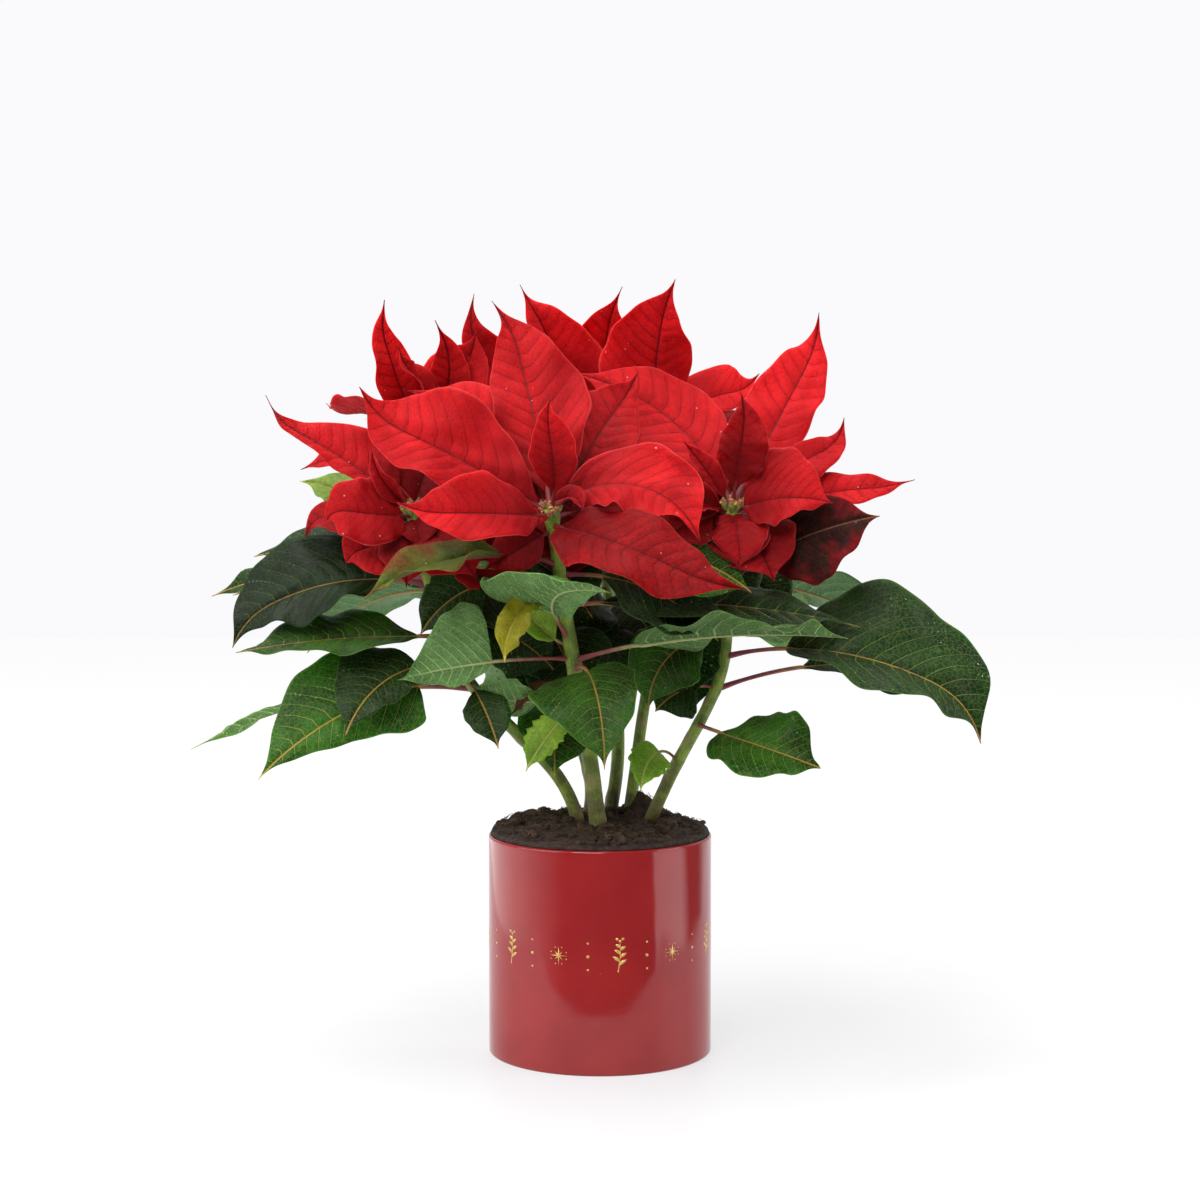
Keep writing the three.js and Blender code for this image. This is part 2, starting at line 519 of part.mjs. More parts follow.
/** A straight pot, open at the top, with a flat underside. */
function potSolid() {
  const outer = POT_DIAMETER / 2;
  const inner = outer - POT_WALL;
  const bevelTop = POT_HEIGHT - RIM_BEVEL;
  return solidFrom(turned([
    [0, 0], [outer - FOOT_BEVEL, 0], [outer, FOOT_BEVEL], [outer, bevelTop],
    [outer - RIM_BEVEL, POT_HEIGHT], [inner + RIM_BEVEL, POT_HEIGHT], [inner, bevelTop],
    [inner, POT_FLOOR], [0, POT_FLOOR],
  ], POT_SIDES));
}

/** Height of the soil's lumps at a place. */
function soilLump(x, y) {
  return SOIL_LUMP * (Math.sin(x / 7.3 + 1.1) * Math.cos(y / 6.1)
    + 0.6 * Math.sin((x + y) / 3.9) * Math.cos((x - 2 * y) / 8.7 + 0.4));
}

/** The heap of soil: it fills the pot and laps over the rim, and raise lifts it as a whole. */
function soilSolid(raise = 0) {
  const bottom = POT_FLOOR + CLEARANCE;
  const inner = POT_DIAMETER / 2 - POT_WALL - CLEARANCE;
  const lip = POT_HEIGHT + CLEARANCE;
  const lap = POT_DIAMETER / 2 - 1;           // the heap ends 1 mm inside the pot's edge
  const heap = [[1, 0], [0.99, 0.22], [0.9, 0.47], [0.75, 0.62], [0.56, 0.76], [0.36, 0.89],
    [0.17, 1], [0, 1]];                       // shares of the lap and of the rise
  const shape = turned([
    [0, bottom], [inner, bottom], [inner, lip],
    ...heap.map(([across, up]) => [lap * across, lip + SOIL_RISE * up]),
  ], SOIL_SIDES);
  const position = shape.attributes.position;
  for (let i = 0; i < position.count; i += 1) {
    const [x, y, z] = [position.getX(i), position.getY(i), position.getZ(i)];
    const lump = z > lip + 1 ? soilLump(x, y) : 0;
    position.setZ(i, z + lump + raise);
  }
  return solidFrom(shape);
}

// ---- assembly -----------------------------------------------------------------------------

const plant = new THREE.Group();

/** Adds one named mesh to the plant. */
function addPiece(name, solid, colour, roughness) {
  const material = new THREE.MeshStandardMaterial({ color: colour, roughness, metalness: 0 });
  const mesh = new THREE.Mesh(geometryFrom(solid), material);
  mesh.name = name;
  plant.add(mesh);
}

addPiece('pot', potSolid(), COLOURS.pot, ROUGHNESS.pot);
addPiece('soil', soilSolid(), COLOURS.soil, ROUGHNESS.soil);

const soilTop = soilSolid(CLEARANCE);
for (const [side, stem] of Object.entries(STEMS)) {
  const blades = BLADES[side].map((row) => {
    const blade = { ...USUAL, ...row };
    return { ...blade, solid: bladeSolid(blade, stem) };
  });
  const withBlades = (solid, name) => blades
    .filter((blade) => blade.joins === name)
    .reduce((sum, blade) => sum.add(blade.solid), solid);

  const length = stemLine(stem).getLength();
  const neck = 1 - NECK_LENGTH / length;
  const gap = CLEARANCE / length;
  const rod = withBlades(stemRod(stem, 0, neck - gap).subtract(soilTop), `stem_${side}`)
    .subtract(stemRod(stem, neck - gap / 2, 1, CLEARANCE));
  const flowers = withBlades(stemRod(stem, neck, 1).add(budTuft(stem)), `flowers_${side}`);
  addPiece(`stem_${side}`, mainBody(rod), COLOURS.stem, ROUGHNESS.stem);
  addPiece(`flowers_${side}`, mainBody(flowers), COLOURS.red, ROUGHNESS.blade);

  const keepOff = stemRod(stem, 0, 1, CLEARANCE).add(budTuft(stem, CLEARANCE));
  for (const blade of blades.filter((one) => one.name)) {
    const solid = mainBody(blade.solid.subtract(keepOff));
    addPiece(blade.name, solid, COLOURS[blade.tone], ROUGHNESS.blade);
  }
}

export default plant;
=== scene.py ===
"""A poinsettia in a straight red pot: its visual model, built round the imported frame.

Sizes are in millimetres and turn into metres where a mesh is made; only the lights and the camera
are placed in metres. +Z is up and -Y is the front of the plant. Stems, leaves and bracts follow
the same lines as the solids they stand for.
"""
import logging
import math
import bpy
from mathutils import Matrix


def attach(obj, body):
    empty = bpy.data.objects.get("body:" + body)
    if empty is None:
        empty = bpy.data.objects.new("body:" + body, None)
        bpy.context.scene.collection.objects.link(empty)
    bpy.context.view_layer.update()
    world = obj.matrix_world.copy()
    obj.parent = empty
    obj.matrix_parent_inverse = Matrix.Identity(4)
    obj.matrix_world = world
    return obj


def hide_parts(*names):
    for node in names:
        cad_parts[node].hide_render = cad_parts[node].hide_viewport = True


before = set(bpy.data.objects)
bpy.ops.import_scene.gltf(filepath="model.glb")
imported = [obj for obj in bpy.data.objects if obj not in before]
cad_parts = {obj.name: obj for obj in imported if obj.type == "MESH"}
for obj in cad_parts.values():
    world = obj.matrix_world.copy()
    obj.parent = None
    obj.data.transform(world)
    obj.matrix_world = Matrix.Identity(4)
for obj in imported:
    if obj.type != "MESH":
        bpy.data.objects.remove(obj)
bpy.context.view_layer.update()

import zlib
from dataclasses import dataclass, field
from enum import Enum
from functools import lru_cache

import bpy
import numpy as np
from mathutils import Vector, noise

LOG = logging.getLogger("poinsettia")
MM = 0.001
ROOT = "root"

Pair = tuple[float, float]
Triple = tuple[float, float, float]
Colour = tuple[float, float, float, float]
Faces = list[list[int]]
Socket = bpy.types.NodeSocket


# ---- small tools -------------------------------------

def linear(code: str) -> Colour:
    """Turns a colour code into a linear colour.

    Args:
        code: the code, such as #b3151d.

    Returns:
        Red, green, blue and alpha.
    """
    parts = [int(code[i:i + 2], 16) / 255 for i in (1, 3, 5)]
    red, green, blue = (p / 12.92 if p <= 0.04045 else ((p + 0.055) / 1.055) ** 2.4 for p in parts)
    return red, green, blue, 1.0


def pair(value: float | Pair) -> Pair:
    """A number as the pair of itself; a pair stays as it is."""
    return value if isinstance(value, tuple) else (value, value)


def ease(value: np.ndarray | float, low: float, high: float) -> np.ndarray:
    """A smooth step from 0 at low to 1 at high."""
    share = np.clip((np.asarray(value, float) - low) / (high - low), 0, 1)
    return share * share * (3 - 2 * share)


def unit(vectors: np.ndarray) -> np.ndarray:
    """Vectors scaled to length 1."""
    return vectors / np.linalg.norm(vectors, axis=-1, keepdims=True)


def draws(name: str) -> np.random.Generator:
    """Random draws that are the same for a name in every run."""
    return np.random.default_rng(zlib.crc32(name.encode()))


class Curve:
    """A smooth curve through points, walked by shares of its own length."""

    STEPS = 40

    def __init__(self, points: list[Triple] | tuple[Triple, ...] | np.ndarray) -> None:
        """Samples the curve.

        Args:
            points: the points that it passes, in order.
        """
        own = np.asarray(points, float)
        spans = len(own) - 1
        held = np.vstack([2 * own[0] - own[1], own, 2 * own[-1] - own[-2]])
        walk = np.linspace(0, spans, spans * self.STEPS + 1)
        first = np.minimum(walk.astype(int), spans - 1)
        t = (walk - first)[:, None]
        before, start, end, after = (held[first + i] for i in range(4))
        leave, reach = (end - before) / 2, (after - start) / 2
        self.points = ((2 * t**3 - 3 * t**2 + 1) * start + (t**3 - 2 * t**2 + t) * leave
                       + (3 * t**2 - 2 * t**3) * end + (t**3 - t**2) * reach)
        steps = np.linalg.norm(np.diff(self.points, axis=0), axis=1)
        self.length = float(steps.sum())
        self.shares = np.concatenate([[0], np.cumsum(steps)]) / self.length

    def at(self, shares: np.ndarray | float) -> np.ndarray:
        """The points at shares of the length."""
        asked = np.atleast_1d(np.asarray(shares, float))
        return np.stack([np.interp(asked, self.shares, self.points[:, k]) for k in range(3)], 1)

    def along(self, shares: np.ndarray | float) -> np.ndarray:
        """The curve's directions.

        Args:
            shares: shares of its length.

        Returns:
            A unit direction at each of them.
        """
        asked = np.atleast_1d(np.asarray(shares, float))
        reach = 0.5 / self.STEPS
        return unit(self.at(np.minimum(asked + reach, 1)) - self.at(np.maximum(asked - reach, 0)))

    def at_height(self, height: float) -> np.ndarray:
        """The point at a height over the table, on a curve that rises all the way."""
        return self.at(np.interp(height, self.points[:, 2], self.shares))[0]


# ---- meshes ------------------------------------------

@dataclass
class Draft:
    """The parts of one piece, gathered before they become one mesh.

    Each part has a material index and three marks for its points: place, a pattern's own
    coordinates; marks, three values that a material reads; and tint, from -1 to 1, which on a
    blade is painted shade below 0 and painted light above 0, and on the soil a random tone.
    """

    name: str
    points: list[np.ndarray] = field(default_factory=list)
    faces: Faces = field(default_factory=list)
    slots: list[int] = field(default_factory=list)
    places: list[np.ndarray] = field(default_factory=list)
    marks: list[np.ndarray] = field(default_factory=list)
    tints: list[np.ndarray] = field(default_factory=list)
    count: int = 0

    def add(self, points: np.ndarray, faces: Faces, slot: int = 0,
            place: np.ndarray | None = None, marks: np.ndarray | None = None,
            tint: float = 0.0) -> None:
        """Adds one closed part and turns its faces outward.

        Args:
            points: its points in millimetres.
            faces: the corners of its faces.
            slot: the index of its material.
            place: the pattern coordinates of its points; its own points if left out.
            marks: three values for each point.
            tint: how much lighter or darker the part is; on a blade this is painted shade below 0
            and painted light above 0, on the soil a random tone.
        """
        if self.volume(points, faces) < 0:
            faces = [face[::-1] for face in faces]
        self.faces += [[corner + self.count for corner in face] for face in faces]
        self.slots += [slot] * len(faces)
        self.points.append(points)
        self.places.append(points if place is None else place)
        self.marks.append(np.zeros_like(points) if marks is None else marks)
        self.tints.append(np.full(len(points), tint))
        self.count += len(points)

    @staticmethod
    def volume(points: np.ndarray, faces: Faces) -> float:
        """Measures what faces enclose.

        Args:
            points: their corners.
            faces: the faces, as indices of corners.

        Returns:
            Six times the volume, negative where the faces look inward.
        """
        total = 0.0
        for size in {len(face) for face in faces}:
            held = points[np.array([face for face in faces if len(face) == size])]
            for k in range(1, size - 1):
                total += float(np.einsum("ij,ij->", held[:, 0],
                                         np.cross(held[:, k], held[:, k + 1])))
        return total

    def build(self, materials: list[bpy.types.Material], smooth: bool = True) -> bpy.types.Object:
        """Makes the object.

        Args:
            materials: its materials, in the order of the parts' indices.
            smooth: whether its faces are shaded as one round surface.

        Returns:
            The new object, linked to the scene.
        """
        mesh = bpy.data.meshes.new(self.name)
        mesh.from_pydata((np.vstack(self.points) * MM).tolist(), [], self.faces)
        for name, held in (("place", self.places), ("marks", self.marks)):
            layer = mesh.attributes.new(name, "FLOAT_VECTOR", "POINT")
            layer.data.foreach_set("vector", np.vstack(held).astype(np.float32).ravel())
        layer = mesh.attributes.new("tint", "FLOAT", "POINT")
        layer.data.foreach_set("value", np.concatenate(self.tints).astype(np.float32))
        for material in materials:
            mesh.materials.append(material)
        mesh.polygons.foreach_set("material_index", self.slots)
        mesh.polygons.foreach_set("use_smooth", [smooth] * len(self.faces))
        mesh.update()
        piece = bpy.data.objects.new(self.name, mesh)
        bpy.context.scene.collection.objects.link(piece)
        return piece


def place_piece(draft: Draft, materials: list[bpy.types.Material], slot: str, *nodes: str) -> None:
    """Makes a piece, puts it on the plant's body and hides the nodes that it stands for.

    Args:
        draft: the piece's parts.
        materials: its materials, in the order of the parts' indices.
        slot: the record's slot for its finish; not used.
        nodes: the nodes that it stands for.
    """
    piece = draft.build(materials)
    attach(piece, ROOT)
    if nodes:
        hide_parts(*nodes)
    LOG.info("%s: %d faces", piece.name, len(piece.data.polygons))


def net(rows: int, columns: int, wraps: bool) -> Faces:
    """The four-cornered faces between points that stand in rows and columns."""
    last = columns if wraps else columns - 1
    return [[row * columns + k, row * columns + (k + 1) % columns,
             (row + 1) * columns + (k + 1) % columns, (row + 1) * columns + k]
            for row in range(rows - 1) for k in range(last)]


def tube(middles: np.ndarray, along: np.ndarray, radii: np.ndarray | tuple, sides: int,
         lead: Triple = (0, 1, 0)) -> tuple[np.ndarray, Faces, np.ndarray]:
    """A round rod through middles, closed at both ends.

    Args:
        middles: the middles of its rings.
        along: the unit direction at each ring.
        radii: the radius of each ring, or one radius for each ring and side.
        sides: how many points a ring has.
        lead: a direction that is nowhere along the rod.

    Returns:
        Its points, its faces, and for each point its row share, turn share and 0.
    """
    rows = len(middles)
    across = unit(np.cross(np.asarray(lead, float), along))
    upright = np.cross(along, across)
    turn = 2 * np.pi * np.arange(sides) / sides
    radii = np.broadcast_to(np.asarray(radii, float).reshape(rows, -1), (rows, sides))
    ring = (across[:, None] * np.cos(turn)[None, :, None]
            + upright[:, None] * np.sin(turn)[None, :, None])
    points = (middles[:, None] + ring * radii[..., None]).reshape(-1, 3)
    row_share = np.repeat(np.linspace(0, 1, rows), sides)
    turn_share = np.tile(np.arange(sides) / sides, rows)
    marks = np.stack([row_share, turn_share, np.zeros(rows * sides)], 1)
    faces = net(rows, sides, True)
    faces += [list(range(sides)), [(rows - 1) * sides + k for k in range(sides)][::-1]]
    return points, faces, marks


def turned(profile: list[Pair] | tuple[Pair, ...], sides: int) -> tuple[np.ndarray, Faces]:
    """A solid turned round Z.

    Args:
        profile: radius and height of its outline's points; the first and the last lie on Z.
        sides: how many points a ring has.

    Returns:
        Its points, with those on Z last, and its faces.
    """
    inner = np.array(profile[1:-1], float)
    turn = 2 * np.pi * np.arange(sides) / sides
    points = np.stack([inner[:, :1] * np.cos(turn), inner[:, :1] * np.sin(turn),
                       np.repeat(inner[:, 1:], sides, 1)], -1).reshape(-1, 3)
    faces = net(len(inner), sides, True)
    ends = [(0, 0, profile[0][1]), (0, 0, profile[-1][1])]
    first, last = len(points), len(points) + 1
    top = (len(inner) - 1) * sides
    for k in range(sides):
        after = (k + 1) % sides
        faces.append([first, after, k])
        faces.append([last, top + k, top + after])
    return np.vstack([points, ends]), faces


# ---- node graphs -------------------------------------

class Graph:
    """The nodes of one material or group, added and wired in one call each."""

    def __init__(self, tree: bpy.types.NodeTree) -> None:
        """Starts with an empty tree."""
        self.tree = tree
        tree.nodes.clear()

    def add(self, kind: str, inputs: dict | None = None, **settings: object) -> bpy.types.Node:
        """Adds a node.

        Args:
            kind: the node's type without the words ShaderNode.
            inputs: values or sockets for its inputs, by name or index.
            settings: the node's own properties.

        Returns:
            The node.
        """
        node = self.tree.nodes.new("ShaderNode" + kind)
        for name, value in settings.items():
            setattr(node, name, value)
        for name, value in (inputs or {}).items():
            self.feed(node.inputs[name], value)
        return node

    def feed(self, socket: Socket, value: object) -> None:
        """Gives an input a value or the colour of a code, or wires it to a socket."""
        if isinstance(value, Socket):
            self.tree.links.new(value, socket)
        else:
            socket.default_value = linear(value) if isinstance(value, str) else value

    def math(self, operation: str, *terms: Socket | float) -> Socket:
        """The result of one Math node."""
        return self.add("Math", dict(enumerate(terms)), operation=operation).outputs[0]

    def times(self, first: Socket | float, second: Socket | float) -> Socket:
        """The product of two numbers."""
        return self.math("MULTIPLY", first, second)

    def plus(self, first: Socket | float, second: Socket | float) -> Socket:
        """The sum of two numbers."""
        return self.math("ADD", first, second)

    def line(self, value: Socket, slope: float, start: Socket | float) -> Socket:
        """A number that is start where the value is 0 and grows by slope times the value."""
        return self.math("MULTIPLY_ADD", value, slope, start)

    def scaled(self, vector: Socket, by: Socket) -> Socket:
        """A vector or colour times a number."""
        return self.add("VectorMath", {0: vector, "Scale": by}, operation="SCALE").outputs[0]

    def step(self, value: Socket, low: float, high: float, start: float = 0.0,
             end: float = 1.0) -> Socket:
        """A smooth step of a value from low to high, from start to end."""
        node = self.add("MapRange", {0: value, 1: low, 2: high, 3: start, 4: end},
                        interpolation_type="SMOOTHSTEP")
        return node.outputs[0]

    def mix(self, share: Socket, first: Socket | str, second: Socket | str) -> Socket:
        """Two colours, or two numbers, mixed by a share of the second."""
        return self.add("Mix", {0: share, 6: first, 7: second}, data_type="RGBA").outputs[2]

    def vector(self, name: str) -> Socket:
        """A vector that the mesh holds for each point."""
        return self.add("Attribute", attribute_name=name).outputs["Vector"]

    def number(self, name: str) -> Socket:
        """A number that the mesh holds for each point."""
        return self.add("Attribute", attribute_name=name).outputs["Fac"]

    def parts(self, vector: Socket) -> list[Socket]:
        """The three parts of a vector."""
        return list(self.add("SeparateXYZ", {0: vector}).outputs)

    def noise(self, vector: Socket, scale: float, detail: float = 2.0) -> Socket:
        """Soft noise from 0 to 1."""
        return self.add("TexNoise", {"Vector": vector, "Scale": scale, "Detail": detail}).outputs[0]

    def use(self, tree: bpy.types.NodeTree, inputs: dict) -> bpy.types.NodeOutputs:
        """Places a shared group and returns its outputs."""
        return self.add("Group", inputs, node_tree=tree).outputs

    def close(self, inputs: dict, height: Socket | None = None, depth: float = 0.0) -> None:
        """Ends a material in its Principled shader.

        Args:
            inputs: the shader's values and sockets.
            height: the relief of the surface, from 0 to 1.
            depth: how deep that relief is, in millimetres.
        """
        shader = self.add("BsdfPrincipled", inputs)
        if height is not None:
            bump = self.add("Bump", {"Height": height, "Distance": depth * MM, "Strength": 1.0})
            self.feed(shader.inputs["Normal"], bump.outputs[0])
        self.add("OutputMaterial", {"Surface": shader.outputs[0]})


class SharedGroups:
    """Node groups that several finishes use. Each is built once."""

    @staticmethod
    def start(name: str, inputs: dict[str, tuple[str, object]],
              outputs: dict[str, str]) -> tuple[bpy.types.NodeTree, Graph, Socket, Socket]:
        """Makes a group with its sockets.

        Args:
            name: the group's name.
            inputs: socket type and usual value for each input.
            outputs: socket type for each output.

        Returns:
            The group, its graph, its inputs and its outputs.
        """
        tree = bpy.data.node_groups.new(name, "ShaderNodeTree")
        for label, (kind, usual) in inputs.items():
            socket = tree.interface.new_socket(label, in_out="INPUT", socket_type="NodeSocket" + kind)
            if usual is not None:
                socket.default_value = usual
        for label, kind in outputs.items():
            tree.interface.new_socket(label, in_out="OUTPUT", socket_type="NodeSocket" + kind)
        graph = Graph(tree)
        given = tree.nodes.new("NodeGroupInput").outputs
        shown = tree.nodes.new("NodeGroupOutput").inputs
        return tree, graph, given, shown

    @staticmethod
    @lru_cache(maxsize=None)
    def veins() -> bpy.types.NodeTree:
        """Midrib, side veins and the fine net between them, as masks."""
        tree, graph, given, shown = SharedGroups.start(
            "Leaf veins",
            {"Place": ("Vector", None), "Phase": ("Float", 0.0), "Across": ("Float", 0.0),
             "Spacing": ("Float", 8.0), "Width": ("Float", 0.4), "Waver": ("Float", 0.06)},
            {"Midrib": "Float", "Side": "Float", "Valley shade": "Float", "Net": "Float"})
        waver = graph.math("SUBTRACT", graph.noise(given["Place"], 0.14), 0.5)
        phase = graph.plus(given["Phase"], graph.times(waver, given["Waver"]))
        off = graph.math("ABSOLUTE", graph.math("SUBTRACT", phase, graph.math("ROUND", phase)))
        away = graph.times(off, given["Spacing"])
        thin = graph.times(given["Width"], graph.step(given["Across"], 0.0, 1.0, 1.0, 0.4))
        near = graph.math("DIVIDE", away, thin)
        graph.feed(shown["Side"], graph.step(near, 0.35, 1.0, 1.0, 0.0))
        # a band along each side vein, which the finishes use to paint shade in the furrow that the vein lies
        # in
        graph.feed(shown["Valley shade"], graph.step(off, 0.0, 0.32, 1.0, 0.0))
        middle = graph.math("ABSOLUTE", graph.parts(given["Place"])[1])
        graph.feed(shown["Midrib"], graph.step(middle, 0.2, 0.6, 1.0, 0.0))
        cells = graph.add("TexVoronoi", {"Vector": given["Place"], "Scale": 0.42,
                                         "Randomness": 0.9}, feature="DISTANCE_TO_EDGE")
        graph.feed(shown["Net"], graph.step(cells.outputs[0], 0.0, 0.11, 1.0, 0.0))
        return tree

    @staticmethod
    @lru_cache(maxsize=None)
    def mottle() -> bpy.types.NodeTree:
        """Uneven colour: wide clouds and a fine grain, both from 0 to 1."""
        tree, graph, given, shown = SharedGroups.start(
            "Mottle", {"Place": ("Vector", None), "Scale": ("Float", 0.05)},
            {"Cloud": "Float", "Grain": "Float"})
        spread = graph.scaled(given["Place"], given["Scale"])
        graph.feed(shown["Cloud"], graph.step(graph.noise(spread, 1.0, 3.0), 0.32, 0.68))
        graph.feed(shown["Grain"], graph.step(graph.noise(spread, 14.0, 4.0), 0.3, 0.7))
        return tree

    @staticmethod
    @lru_cache(maxsize=None)
    def specks() -> bpy.types.NodeTree:
        """Small round specks, as a mask: the share of cells that hold one is Amount."""
        tree, graph, given, shown = SharedGroups.start(
            "Specks", {"Place": ("Vector", None), "Scale": ("Float", 0.3),
                       "Amount": ("Float", 0.1), "Size": ("Float", 0.12)},
            {"Mask": "Float"})
        cells = graph.add("TexVoronoi", {"Vector": given["Place"], "Scale": given["Scale"]})
        chance = graph.parts(cells.outputs["Color"])[0]
        held = graph.math("LESS_THAN", chance, given["Amount"])
        near = graph.math("DIVIDE", cells.outputs["Distance"], given["Size"])
        dot = graph.step(near, 0.6, 1.0, 1.0, 0.0)
        graph.feed(shown["Mask"], graph.times(held, dot))
        return tree


# ---- finishes ----------------------------------------

@dataclass(frozen=True)
class Finish:
    """The look of one kind of surface."""

    name: str

    @lru_cache(maxsize=None)
    def material(self) -> bpy.types.Material:
        """The finish as a material; it is made once."""
        material = bpy.data.materials.new(self.name)
        material.use_nodes = True
        self.paint(Graph(material.node_tree))
        return material

    def paint(self, graph: Graph) -> None:
        """Wires the nodes of the finish; each kind has its own.

        Args:
            graph: the empty graph of the finish's material.
        """
        raise NotImplementedError


@dataclass(frozen=True)
class BladeFinish(Finish):
    """The look of a leaf or a bract, on both of its sides."""

    deep: str                    # upper side, its darker colour
    light: str                   # upper side, its lighter colour
    vein: str                    # side veins on the upper side
    under: str                   # underside
    under_vein: str
    margin: str
    vein_show: float = 0.6       # how much the side veins show on the upper side
    painted_valley_shade: float = 0.25    # painted shade: how much darker the tissue in the furrow beside each vein is drawn
    roughness: float = 0.45
    through: float = 0.25        # how much light passes into the blade
    glow: Triple = (0.3, 1.0, 0.2)
    blotch: str = ""             # a second colour in patches, from the margin inward
    relief: float = 0.35         # depth of the bumps
    vein_width: float = 0.34
    shine: float = 0.14
    midrib: str = ""             # the midrib on the upper side, if it isn't the veins' colour
    painted_base_shade: float = 0.0           # painted shade: how much of the veins' dark colour shows near the blade's base, deep in the head
    painted_base_shade_ends: Pair = (4.0, 46.0)
    dust: str = "#d8cfc4"

    def paint(self, graph: Graph) -> None:
        """Wires the nodes of the finish.

        Args:
            graph: the empty graph of its material.
        """
        place, tint = graph.vector("place"), graph.number("tint")
        phase, across, upper = graph.parts(graph.vector("marks"))
        veins = graph.use(SharedGroups.veins(), {
            "Place": place, "Phase": phase, "Across": across, "Width": self.vein_width})
        mottle = graph.use(SharedGroups.mottle(), {"Place": place, "Scale": 0.045})
        specks = graph.use(SharedGroups.specks(), {"Place": place, "Amount": 0.05})

        top = graph.mix(mottle["Cloud"], self.deep, self.light)
        if self.blotch:
            uneven = graph.noise(place, 0.085, 4.0)
            edge = graph.line(across, 0.34, uneven)
            top = graph.mix(graph.step(edge, 0.58, 0.92), top, self.blotch)
        # painted shade in the furrows beside the side veins
        shade = graph.times(veins["Valley shade"], self.painted_valley_shade)
        top = graph.mix(shade, top, self.deep)
        side = graph.times(veins["Side"], self.vein_show)
        top = graph.mix(side, top, self.vein)
        top = graph.mix(graph.times(veins["Midrib"], 0.85), top, self.midrib or self.vein)
        net = graph.times(veins["Net"], 0.16)
        top = graph.mix(net, top, self.vein)

        below = graph.mix(graph.times(mottle["Cloud"], 0.35), self.under, self.light)
        below = graph.mix(graph.times(veins["Net"], 0.3), below, self.under_vein)
        below = graph.mix(veins["Side"], below, self.under_vein)
        colour = graph.mix(upper, below, top)
        # painted shade: the blade's base, which sits deep in the head, is drawn darker in the veins' colour
        if self.painted_base_shade:
            ahead = graph.parts(place)[0]
            near = graph.step(ahead, *self.painted_base_shade_ends, self.painted_base_shade, 0.0)
            colour = graph.mix(near, colour, self.vein)

        rim = graph.times(graph.step(across, 0.955, 1.0), 0.6)
        colour = graph.mix(rim, colour, self.margin)
        # painted shade and light: tint below 0 darkens a blade that stands in shade, tint above 0 lightens
        # one that stands in light; grain is random tone
        grain = graph.times(graph.math("SUBTRACT", mottle["Grain"], 0.5), 0.22)
        bright = graph.plus(graph.line(tint, 0.3, 1.0), grain)
        colour = graph.scaled(colour, bright)
        colour = graph.mix(graph.times(specks["Mask"], 0.5), colour, self.dust)

        dull = graph.line(mottle["Grain"], 0.14, self.roughness - 0.07)
        dull = graph.line(upper, -0.12, graph.plus(dull, 0.12))
        furrow = graph.times(veins["Side"], graph.line(upper, -1.6, 0.9))
        puffed = graph.times(veins["Net"], -0.22)
        height = graph.plus(graph.plus(furrow, puffed), graph.times(mottle["Grain"], 0.12))
        graph.close({
            "Base Color": colour, "Roughness": dull, "Subsurface Weight": self.through,
            "Subsurface Radius": self.glow, "Subsurface Scale": 0.0012,
            "Specular IOR Level": self.shine}, height, self.relief)


@dataclass(frozen=True)
class StalkFinish(Finish):
    """The look of a leaf stalk and of the midrib that it runs on into."""

    start: str
    end: str
    streaks: float = 44.0        # seven fine streaks round the stalk

    def paint(self, graph: Graph) -> None:
        """Wires the nodes of the finish.

        Args:
            graph: the empty graph of its material.
        """
        place = graph.vector("place")
        run, turn, _ = graph.parts(graph.vector("marks"))
        mottle = graph.use(SharedGroups.mottle(), {"Place": place, "Scale": 0.25})
        run = graph.plus(run, graph.times(mottle["Cloud"], 0.12))
        colour = graph.mix(graph.step(run, 0.25, 0.75), self.start, self.end)
        streak = graph.math("SINE", graph.times(turn, self.streaks))
        bright = graph.line(streak, 0.05, graph.line(mottle["Grain"], 0.3, 0.85))
        colour = graph.scaled(colour, bright)
        graph.close({
            "Base Color": colour, "Subsurface Weight": 0.15, "Subsurface Scale": 0.001,
            "Roughness": graph.line(mottle["Grain"], 0.2, 0.34)},
            graph.plus(streak, mottle["Grain"]), 0.08)


@dataclass(frozen=True)
class StemFinish(Finish):
    """The look of a stem: green above, brown and corky near the soil, with pale leaf scars."""

    name: str = "stem bark"
    bark_ends: Pair = (126.0, 178.0)   # heights between which the bark gives way to green
    ridges: float = 75.4         # twelve ridges round the stem

    def paint(self, graph: Graph) -> None:
        """Wires the nodes of the finish.

        Args:
            graph: the empty graph of its material.
        """
        place = graph.vector("place")
        height, turn, scar = graph.parts(graph.vector("marks"))
        mottle = graph.use(SharedGroups.mottle(), {"Place": place, "Scale": 0.12})
        corky = graph.line(mottle["Cloud"], 26.0, height)
        green = graph.mix(mottle["Cloud"], "#566f1c", "#8ca23a")
        bark = graph.mix(mottle["Grain"], "#4c4422", "#7a6c3e")
        colour = graph.mix(graph.step(corky, *self.bark_ends), bark, green)
        wave = graph.math("SINE", graph.times(turn, self.ridges))
        streak = graph.line(wave, 0.06, graph.line(mottle["Grain"], 0.36, 0.82))
        colour = graph.scaled(colour, streak)
        colour = graph.mix(graph.times(scar, 0.75), colour, "#97805a")
        relief = graph.plus(graph.times(wave, 0.3), mottle["Grain"])
        graph.close({
            "Base Color": colour, "Subsurface Weight": 0.08, "Subsurface Scale": 0.001,
            "Roughness": graph.line(mottle["Grain"], 0.2, 0.28)}, relief, 0.2)


